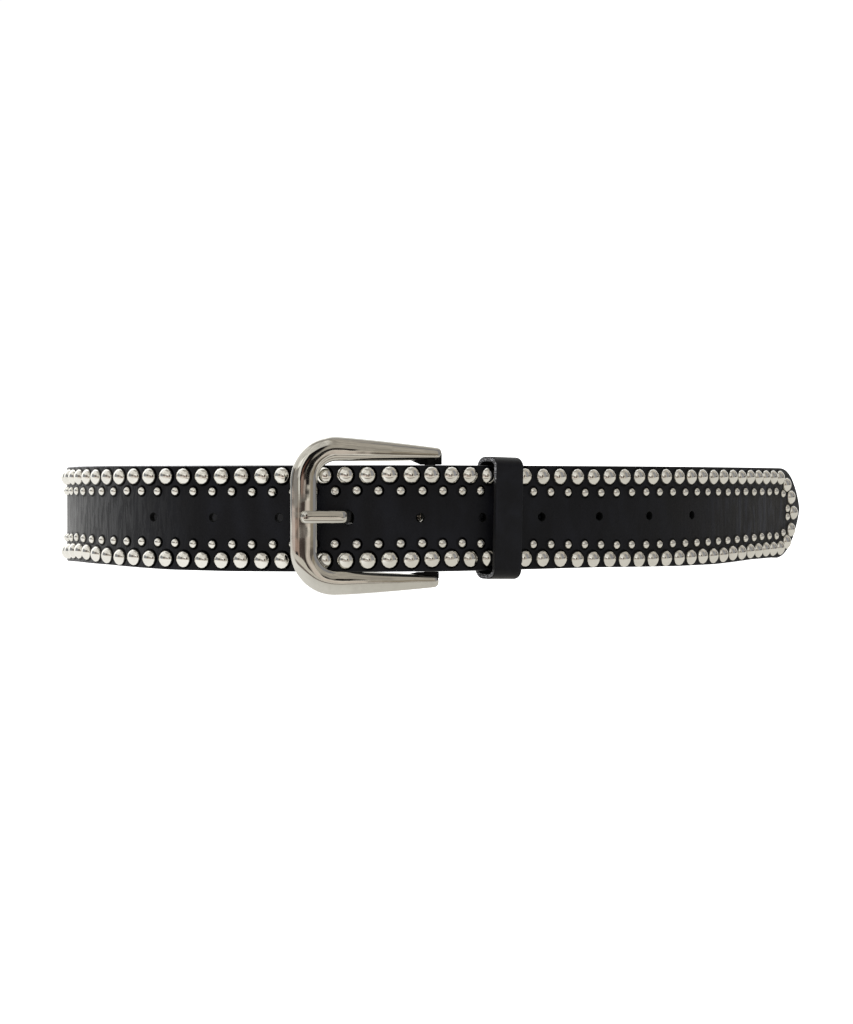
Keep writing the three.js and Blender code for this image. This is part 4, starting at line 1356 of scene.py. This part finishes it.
# Buckle
def half_hoop(plane, buckle, short, end_v):
    """Centre line of one half of the frame with its half width, from the left bar to the arm's end."""
    end_u = plane.length + ARM_END_U - short
    lead = math.atan2(end_v - CORNER_START - CORNER_RADIUS, end_u - CORNER_RADIUS)
    bar = buckle.bar_half_width / MM
    arm = buckle.arm_half_width / MM
    end = buckle.arm_end_half_width / MM
    stations = [(0.0, CORNER_START * step / 4, bar) for step in range(1, 4)]
    corner_steps = 14
    for step in range(corner_steps + 1):
        share = step / corner_steps
        turn = math.pi / 2 + (lead - math.pi / 2) * share
        stations.append((
            CORNER_RADIUS * (1 - math.sin(turn)),
            CORNER_START + CORNER_RADIUS * math.cos(turn),
            bar + (arm - bar) * share,
        ))
    root_u, root_v, _ = stations[-1]
    arm_steps = 12
    arm_length = math.hypot(end_u - root_u, end_v - root_v)
    shares = [step / arm_steps * (1 - ARM_ROUND_END / arm_length) for step in range(1, arm_steps + 1)]
    shares += [1 - ARM_ROUND_END * left / arm_length for left in (0.75, 0.5, 0.3, 0.15, 0.04, 0.0)]
    for share in shares:
        from_end = (1 - share) * arm_length / ARM_ROUND_END
        blunt = math.sqrt(max(0.02, 1 - (1 - min(1, from_end)) ** 2))
        stations.append((
            root_u + (end_u - root_u) * share,
            root_v + (end_v - root_v) * share,
            blunt * (arm + (end - arm) * share ** ARM_TAPER),
        ))
    return stations


def hoop(plane, buckle):
    upper = half_hoop(plane, buckle, UPPER_ARM_SHORT, ARM_END_V - UPPER_ARM_DROP)
    lower = half_hoop(plane, buckle, LOWER_ARM_SHORT, ARM_END_V + LOWER_ARM_DROP)
    stations = [(u, -v, half) for u, v, half in reversed(lower)]
    stations += [(0.0, 0.0, buckle.bar_half_width / MM)] + upper
    section = rounded_section(28, 3.4, 2.2, 0.9, 1.08)
    way = [Vector((u, v, 0)) * MM for u, v, _ in stations]
    bar = swept("buckle_frame_metal", section, way, [half * MM for _, _, half in stations])
    arm_end = (plane.length + ARM_END_U) * MM
    bar_depth = buckle.half_depth / buckle.bar_half_width
    end_depth = ARM_END_HALF_DEPTH * MM / buckle.arm_end_half_width
    for vertex in bar.data.vertices:
        share = min(1, max(0, vertex.co.x / arm_end))
        vertex.co.z *= bar_depth + (end_depth - bar_depth) * share
    apply_modifier(bar, "smooth", "SUBSURF", levels=1, render_levels=1)
    return bar


def lug(plan, side, start):
    """A lug between an arm's end and the strap, with a wedge that runs out along the arm, both dark with
    painted shade.
    """
    edge = plan.half_width + (BASE_DROP if side < 0 else 0)
    inner = side * (edge + LUG_GAP) - FRAME_RISE
    outer = side * ARM_END_V
    middle = Vector((start + LUG_LENGTH / 2, (inner + outer) / 2, 0)) * MM
    size = Vector((LUG_LENGTH, abs(outer - inner), LUG_DEPTH)) * MM
    block = added("lug", bpy.ops.mesh.primitive_cube_add, size, size=1, location=middle)
    out_along = (-LUG_WEDGE * MM, 0, 0)
    in_edit_mode(
        block,
        lambda mesh: [face for face in mesh.faces if face.normal.x < -0.9],
        lambda: bpy.ops.mesh.extrude_region_move(TRANSFORM_OT_translate={"value": out_along}),
    )
    for vertex in block.data.vertices:
        if vertex.co.x < (start - LUG_WEDGE / 2) * MM and abs(vertex.co.y) < (abs(inner) + 0.1) * MM:
            vertex.co.y = (outer - side * LUG_WEDGE_END) * MM
    apply_modifier(block, "edges", "BEVEL", width=0.8 * MM, segments=4)
    coated(block, shade_dark_nickel())
    return block


def heel_parts(plane, plan):
    """The heel bar and the two lugs that carry it, in the frame's plane, dark with painted shade."""
    along, out = plane.coordinates(plan.heel)
    bar = rod("heel_bar", 24, HEEL_RADIUS, 2 * (ARM_END_V - HEEL_BAR_SHORT), (along, 0, out))
    # The heel bar carries the same painted shade as the lugs.
    coated(bar, shade_dark_nickel())
    parts = [bar]
    for side, short in ((1, UPPER_ARM_SHORT), (-1, LOWER_ARM_SHORT)):
        parts.append(lug(plan, side, plane.length + ARM_END_U - short - LUG_LENGTH))
    return parts


class BELT_OT_buckle_frame(bpy.types.Operator):
    """Make the horseshoe frame of the buckle, with its heel bar."""

    bl_idname = "belt.buckle_frame"
    bl_label = "Buckle frame"

    def execute(self, context):
        plan = strap_plan()
        plane = BucklePlane(plan)
        metal = hoop(plane, context.scene.belt_buckle)
        coated(metal, frame_nickel())
        piece = joined("buckle_frame_metal", [metal, *heel_parts(plane, plan)])
        smoothly_shaded(piece)
        settled(piece, plan, plane.matrix(plane.along, Vector((0, 0, 1)), plane.out))
        finished(piece, "nickel")
        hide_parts("buckle_frame")
        return {"FINISHED"}


def rounded_way(points, radius, steps):
    """The way through points, with each inner corner turned on an arc."""
    way = [points[0]]
    for before, corner, after in zip(points, points[1:], points[2:]):
        back = (before - corner).normalized()
        ahead = (after - corner).normalized()
        half = math.acos(max(-1, min(1, back.dot(ahead)))) / 2
        cut = min(radius / math.tan(half), 0.45 * (before - corner).length, 0.45 * (after - corner).length)
        for step in range(steps + 1):
            share = step / steps
            near = corner + back * cut
            far = corner + ahead * cut
            way.append(near * (1 - share) ** 2 + corner * 2 * share * (1 - share) + far * share ** 2)
    way.append(points[-1])
    return way


class BELT_OT_prong(bpy.types.Operator):
    """Make the prong, from its tip on the left bar through the strap to its eye."""

    bl_idname = "belt.prong"
    bl_label = "Prong"

    def execute(self, context):
        plan = strap_plan()
        plane = BucklePlane(plan)
        buckle = context.scene.belt_buckle
        half_thickness = buckle.prong_half_thickness / MM
        face = plan.along(plan.bar + PRONG_FROM_BAR)
        entry_u, entry_w = plane.coordinates(face)
        dive = plane.heading - (face.heading - math.pi) - PRONG_DIVE
        top = buckle.half_depth / MM + PIECE_GAP + half_thickness
        to_top = (top - entry_w) / math.sin(dive)
        through = (plan.thickness + PIECE_GAP + half_thickness) / math.sin(PRONG_DIVE)
        tip = Vector((PRONG_TIP_U, top))
        corners = [
            tip + Vector((2.0, 0)),
            Vector((entry_u + to_top * math.cos(dive), top)),
            Vector((entry_u + through * math.cos(dive), entry_w + through * math.sin(dive))),
            Vector((plane.length - EYE_RADIUS, 0)),
        ]
        reaches = (0.0, 0.1, 0.35, 0.8, 1.5)
        way = [tip + Vector((reach, 0)) for reach in reaches]
        way += rounded_way(corners, PRONG_TURN_RADIUS, 7)
        blunt = [0.12, 0.35, 0.62, 0.87, 0.98] + [1.0] * (len(way) - len(reaches))
        points = [Vector((place.x, place.y, 0)) * MM for place in way]
        halves = [share * buckle.prong_half_thickness for share in blunt]
        piece = swept("prong_metal", rounded_section(20, 2.6, 2.6, 1.0), points, halves)
        wider = buckle.prong_half_width / buckle.prong_half_thickness
        for vertex in piece.data.vertices:
            vertex.co.z *= wider
        along, out = plane.coordinates(plan.heel)
        eye = added(
            "eye", bpy.ops.mesh.primitive_torus_add,
            (1, 1, buckle.prong_half_width / (EYE_HALF_THICKNESS * MM)),
            major_segments=32, minor_segments=12, major_radius=EYE_RADIUS * MM,
            minor_radius=EYE_HALF_THICKNESS * MM, location=(along * MM, out * MM, 0))
        piece = joined("prong_metal", [piece, eye])
        apply_modifier(piece, "smooth", "SUBSURF", levels=1, render_levels=1)
        place = plane.matrix(plane.along, plane.out, Vector((0, 0, -1)))
        settled(piece, plan, Matrix.Translation((0, 0, (PRONG_RISE - FRAME_RISE) * MM)) @ place)
        finished(piece, "nickel", frame_nickel())
        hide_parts("prong")
        return {"FINISHED"}


# Fold rivets
class BELT_OT_fold_rivets(bpy.types.Operator):
    """Make the two rivets that close the fold."""

    bl_idname = "belt.fold_rivets"
    bl_label = "Fold rivets"

    def execute(self, context):
        plan = strap_plan()
        pose = plan.along(plan.fold - RIVETS_FROM_FOLD)
        high = PIECE_GAP
        low = -2 * plan.thickness - LAYER_GAP - 2 * PIECE_GAP
        for name, side in (("fold_rivet_upper", 1), ("fold_rivet_lower", -1)):
            cap = stud_dome(name + "_head", RIVET_RADIUS * MM, RIVET_HEAD_HEIGHT * MM, 24, 10)
            cap.data.transform(Matrix.Translation((0, low * MM, 0)) @ Matrix.Rotation(math.pi, 4, "X"))
            shaft = rod("shaft", 20, RIVET_SHAFT_RADIUS, high - low, (0, (high + low) / 2, 0))
            burr = rod("burr", 24, RIVET_RADIUS, BURR_THICKNESS, (0, high + BURR_OUT, 0))
            apply_modifier(burr, "edges", "BEVEL", width=0.2 * MM, segments=2)
            rivet = joined(name + "_metal", [cap, shaft, burr])
            place = Matrix.Translation(Vector((pose.x, pose.y, side * RIVET_FROM_MIDDLE)) * MM)
            settled(rivet, plan, place @ Matrix.Rotation(pose.heading, 4, "Z"))
            finished(rivet, "nickel", frame_nickel())
            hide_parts(name)
        return {"FINISHED"}


# Stage
PANELS = (
    Panel("soft_box_above", (-0.4, -0.8, 1.4), 1.2, (0, 0, 0.03), 9),
    Panel("soft_box_left", (-1.5, 0.1, 0.5), 0.9, (0, 0, 0.03), 6),
)

# The room as the metal shows it, painted from the first patch to the last. The sides are angles to
# the right of straight behind the camera, in degrees, and the heights are the upward parts of the
# directions. The low patches are narrow because the buckle's flat left bar draws them out.
ROOM_WALL = (0.50, 0.465, 0.41)
BLACK = (0.012, 0.011, 0.011)
ROOM = (
    Patch("left_light", -190, -30, 0.42, 1.2, 5, (0.98, 0.97, 0.94)),
    Patch("upper_light", -62, 27, 0.33, 0.86, 4, (0.84, 0.82, 0.77)),
    Patch("ceiling", -190, 190, 0.90, 1.2, 5, (0.45, 0.43, 0.40)),
    Patch("curtain", -58, -34, -0.04, 0.40, 3, (0.17, 0.15, 0.13)),
    Patch("left_grey", -110, -58, -0.06, 0.38, 4, (0.30, 0.31, 0.325)),
    Patch("grey_wall", -34, 1, 0.02, 0.29, 2.5, (0.33, 0.31, 0.29)),
    Patch("window", -11, 5, 0.29, 0.42, 2, (1.5, 1.5, 1.45)),
    Patch("bright_wall", 1, 13, 0.12, 0.40, 1.5, (1.0, 0.98, 0.93)),
    Patch("pink_wall", -60, -15, -0.40, 0.02, 1.5, (0.76, 0.65, 0.60)),
    Patch("brown_wall", -15, 12.5, -0.40, 0.018, 1.5, (0.51, 0.375, 0.31)),
    Patch("dark_middle", -12, 5, -0.17, 0.020, 1.2, (0.03, 0.028, 0.027)),
    Patch("brown_strip", -14, 8, -0.045, 0.015, 0.8, (0.51, 0.375, 0.31)),
    Patch("door_edge", 7.5, 13, 0.03, 0.3, 1.0, (1.2, 1.18, 1.12)),
    Patch("doorway_top", 13, 27, 0.07, 0.32, 1.2, BLACK),
    Patch("doorway", 15.5, 32.5, 0.030, 0.085, 1.0, BLACK),
    Patch("brown_column", 18, 22, 0.03, 0.16, 1.5, (0.14, 0.07, 0.05)),
    Patch("brown_column_foot", 19.5, 25.5, 0.024, 0.09, 1.0, (0.42, 0.30, 0.25)),
    Patch("lit_jamb", 25.7, 28.3, 0.026, 0.056, 0.6, (0.58, 0.50, 0.45)),
    Patch("cabinet", 14.5, 30, 0.017, 0.030, 0.8, (0.20, 0.185, 0.17)),
    Patch("dark_wood", 11.5, 28, -0.3, 0.017, 1.0, (0.08, 0.062, 0.055)),
    Patch("lit_edge", 28.5, 33, -0.35, 0.02, 0.8, (0.75, 0.67, 0.60)),
    Patch("lit_edge_middle", 29.6, 35, 0.018, 0.027, 0.6, (0.85, 0.80, 0.72)),
    Patch("lit_edge_upper", 33, 36, 0.018, 0.042, 0.8, (0.85, 0.80, 0.72)),
    Patch("right_wall", 47, 86, -0.35, 0.8, 2.0, (0.31, 0.31, 0.325)),
    Patch("olive_wall", 34, 46, -0.35, 0.05, 1.5, (0.32, 0.28, 0.22)),
    Patch("low_glow", 30, 48, -0.20, -0.09, 1.0, (0.80, 0.77, 0.72)),
    Patch("table_foot", 30, 60, -0.27, -0.17, 1.0, (0.10, 0.09, 0.08)),
    Patch("low_shadow", 33, 48, -0.065, -0.012, 0.8, (0.15, 0.13, 0.11)),
    Patch("right_dark", 80, 97, -0.12, 0.2, 3, (0.06, 0.055, 0.05)),
    Patch("right_room", 97, 135, -0.5, 0.5, 6, (0.30, 0.28, 0.26)),
    Patch("behind_right", 135, 190, -1.2, 1.2, 6, (0.9, 0.9, 0.88)),
    Patch("behind_left", -190, -112, -1.2, 1.2, 6, (1.5, 1.5, 1.48)),
)

# The painted reflection of the table top before the belt, as the metal shows it, by places along Y: pale
# up to a dark strip, and pale again to its edge. Left of a place along X the edge slants forwards, by
# about its reach a metre.
TABLE_PALE_TO = -0.172
TABLE_DARK_TO = -0.195
TABLE_EDGE = -0.30
TABLE_SIZE = 6
TABLE_LEFT_FROM = -0.09
TABLE_LEFT_REACH = 0.5


def floor_material():
    """White table top with a faint glow, as of a light table."""
    made, w, shader = material("pale_floor")
    colour = bpy.context.scene.belt_finishes.floor
    cloud = w.noise(coordinates(w, "Object"), 3.0, 2.0, 0.5)
    faint = tuple(channel * 0.985 for channel in colour)
    w.put(shader.inputs["Base Color"], w.mixed(cloud, rgba(colour), rgba(faint)))
    shader.inputs["Roughness"].default_value = 0.9
    shader.inputs["Specular IOR Level"].default_value = 0.1
    shader.inputs["Emission Color"].default_value = grey(1.0)
    shader.inputs["Emission Strength"].default_value = bpy.context.scene.belt_stage.floor_glow
    return made


def painted_table_glow_material():
    """Painted reflection of the table top, for reflections alone: it glows in the tones the metal shows,
    darker to the right and with a dark strip.
    """
    made, w, shader = material("painted_reflection_table")
    parts = w.node("ShaderNodeSeparateXYZ", {0: coordinates(w, "Object")}).outputs
    to_right = w.ramp(parts["X"], -0.08, -0.01)
    near = w.mixed(to_right, (1.02, 1.01, 0.98, 1.0), (0.70, 0.68, 0.63, 1.0))
    past_strip = w.mixed(to_right, (0.85, 0.81, 0.75, 1.0), (0.74, 0.70, 0.63, 1.0))
    tone = w.mixed(w.ramp(parts["Y"], TABLE_DARK_TO, TABLE_PALE_TO), past_strip, near)
    strip = w.between(parts["Y"], TABLE_DARK_TO, TABLE_PALE_TO, 3 * MM)
    strip = w.math("MULTIPLY", strip, w.ramp(parts["X"], -0.10, -0.06))
    strip = w.math("MULTIPLY", strip, w.ramp(parts["X"], 0.03, 0.09, 1.0, 0.4))
    tone = w.mixed(w.math("MULTIPLY", strip, 0.85), tone, (0.14, 0.10, 0.085, 1.0))
    shader.inputs["Base Color"].default_value = grey(0.0)
    shader.inputs["Specular IOR Level"].default_value = 0.0
    w.put(shader.inputs["Emission Color"], tone)
    shader.inputs["Emission Strength"].default_value = 1.0
    return made


def painted_reflection_table():
    """A glowing table top of painted reflection that only reflections show, with a front edge that slants
    away at the left.
    """
    table = added("painted_reflection_table", bpy.ops.mesh.primitive_plane_add,
                  size=TABLE_SIZE, location=(0, TABLE_SIZE / 2 + TABLE_EDGE, -0.1 * MM))
    in_edit_mode(
        table,
        lambda mesh: mesh.faces,
        lambda: bpy.ops.mesh.bisect(plane_co=(TABLE_LEFT_FROM, 0, 0), plane_no=(1, 0, 0)),
    )
    for vertex in table.data.vertices:
        if vertex.co.x < TABLE_LEFT_FROM - 1 and vertex.co.y < 0:
            vertex.co.y -= TABLE_LEFT_REACH * TABLE_SIZE / 2
    table.data.materials.append(painted_table_glow_material())
    table.visible_camera = False
    table.visible_diffuse = False
    table.visible_shadow = False
    table.visible_transmission = False


def room_light(strength):
    """White for the camera, even light for soft surfaces, and for metal a room behind the camera."""
    world = bpy.data.worlds.new("studio_room")
    bpy.context.scene.world = world
    world.use_nodes = True
    world.cycles.sampling_method = "NONE"
    world.node_tree.nodes.clear()
    w = Wiring(world.node_tree)
    direction = w.node("ShaderNodeTexCoord").outputs["Generated"]
    parts = w.node("ShaderNodeSeparateXYZ", {0: direction}).outputs
    side = w.math("ARCTAN2", parts["X"], w.math("MULTIPLY", parts["Y"], -1.0))
    height = parts["Z"]
    across = w.vector(side, w.math("MULTIPLY", height, 0.4), 0.0)
    broad = w.ramp(w.noise(across, 5.0, 3.0, 0.6, 0.4), 0.35, 0.65, 0.8, 1.15)
    fine = w.ramp(w.noise(across, 26.0, 3.0, 0.65, 0.8), 0.35, 0.65, 0.8, 1.12)
    room = rgba(ROOM_WALL)
    for patch in ROOM:
        soft = math.radians(patch.soft)
        columns = w.between(side, math.radians(patch.left), math.radians(patch.right), soft)
        rows = w.between(height, patch.bottom, patch.top, 0.3 * soft)
        room = w.mixed(w.math("MULTIPLY", columns, rows), room, rgba(patch.colour))
    room = w.scaled(room, w.math("MULTIPLY", broad, fine))
    seen = w.node("ShaderNodeLightPath").outputs["Is Glossy Ray"]
    plain = w.node("ShaderNodeBackground", {"Color": grey(1.0), "Strength": strength}).outputs[0]
    glossy = w.node("ShaderNodeBackground", {"Color": room, "Strength": 1.0}).outputs[0]
    both = w.node("ShaderNodeMixShader", {0: seen, 1: plain, 2: glossy}).outputs[0]
    w.node("ShaderNodeOutputWorld", {"Surface": both})


class BELT_OT_stage(bpy.types.Operator):
    """Make the pale floor, the soft lights and the camera."""

    bl_idname = "belt.stage"
    bl_label = "Stage"

    def execute(self, context):
        stage = context.scene.belt_stage
        floor = added("floor", bpy.ops.mesh.primitive_circle_add,
                      vertices=64, radius=20, fill_type="NGON")
        floor.data.materials.append(floor_material())
        floor.visible_glossy = False
        painted_reflection_table()
        for panel in PANELS:
            place = Vector(panel.place)
            aim = (Vector(panel.aim) - place).to_track_quat("-Z", "Y").to_euler()
            bpy.ops.object.light_add(type="AREA", location=place, rotation=aim)
            lamp = bpy.context.object
            lamp.name = panel.name
            lamp.data.size = panel.size
            lamp.data.energy = panel.power
            lamp.visible_glossy = False
        room_light(stage.room_light)
        bpy.ops.object.camera_add(
            location=stage.camera_place, rotation=(math.pi / 2 - stage.camera_dip, 0, 0))
        camera = bpy.context.object
        camera.data.lens = stage.camera_lens
        camera.data.clip_end = 100
        context.scene.camera = camera
        context.scene.view_settings.view_transform = "Standard"
        return {"FINISHED"}


class BELT_PT_panel(bpy.types.Panel):
    """Lists the belt's sizes and the pieces that can be made."""

    bl_idname = "BELT_PT_panel"
    bl_label = "Studded belt"
    bl_space_type = "VIEW_3D"
    bl_region_type = "UI"
    bl_category = "Belt"

    def draw(self, context):
        for title, store, group_class in STORES:
            box = self.layout.box()
            box.label(text=title)
            for name in group_class.__annotations__:
                box.prop(getattr(context.scene, store), name)
        for operator in OPERATORS:
            self.layout.operator(operator.bl_idname)


STORES = (
    ("Strap", "belt_strap", StrapSizes),
    ("Studs", "belt_studs", StudSizes),
    ("Buckle", "belt_buckle", BuckleSizes),
    ("Keeper", "belt_keeper", KeeperSizes),
    ("Finishes", "belt_finishes", Finishes),
    ("Stage", "belt_stage", StageSizes),
)
OPERATORS = (
    BELT_OT_strap,
    BELT_OT_large_studs,
    BELT_OT_small_studs,
    BELT_OT_keeper,
    BELT_OT_buckle_frame,
    BELT_OT_prong,
    BELT_OT_fold_rivets,
    BELT_OT_stage,
)


def register():
    for _, store, group_class in STORES:
        bpy.utils.register_class(group_class)
        setattr(bpy.types.Scene, store, bpy.props.PointerProperty(type=group_class))
    for operator in OPERATORS:
        bpy.utils.register_class(operator)
    bpy.utils.register_class(BELT_PT_panel)


def unregister():
    bpy.utils.unregister_class(BELT_PT_panel)
    for operator in reversed(OPERATORS):
        bpy.utils.unregister_class(operator)
    for _, store, group_class in reversed(STORES):
        delattr(bpy.types.Scene, store)
        bpy.utils.unregister_class(group_class)


def main():
    register()
    for operator in OPERATORS:
        family, name = operator.bl_idname.split(".")
        getattr(getattr(bpy.ops, family), name)()


if __name__ == "__main__":
    main()
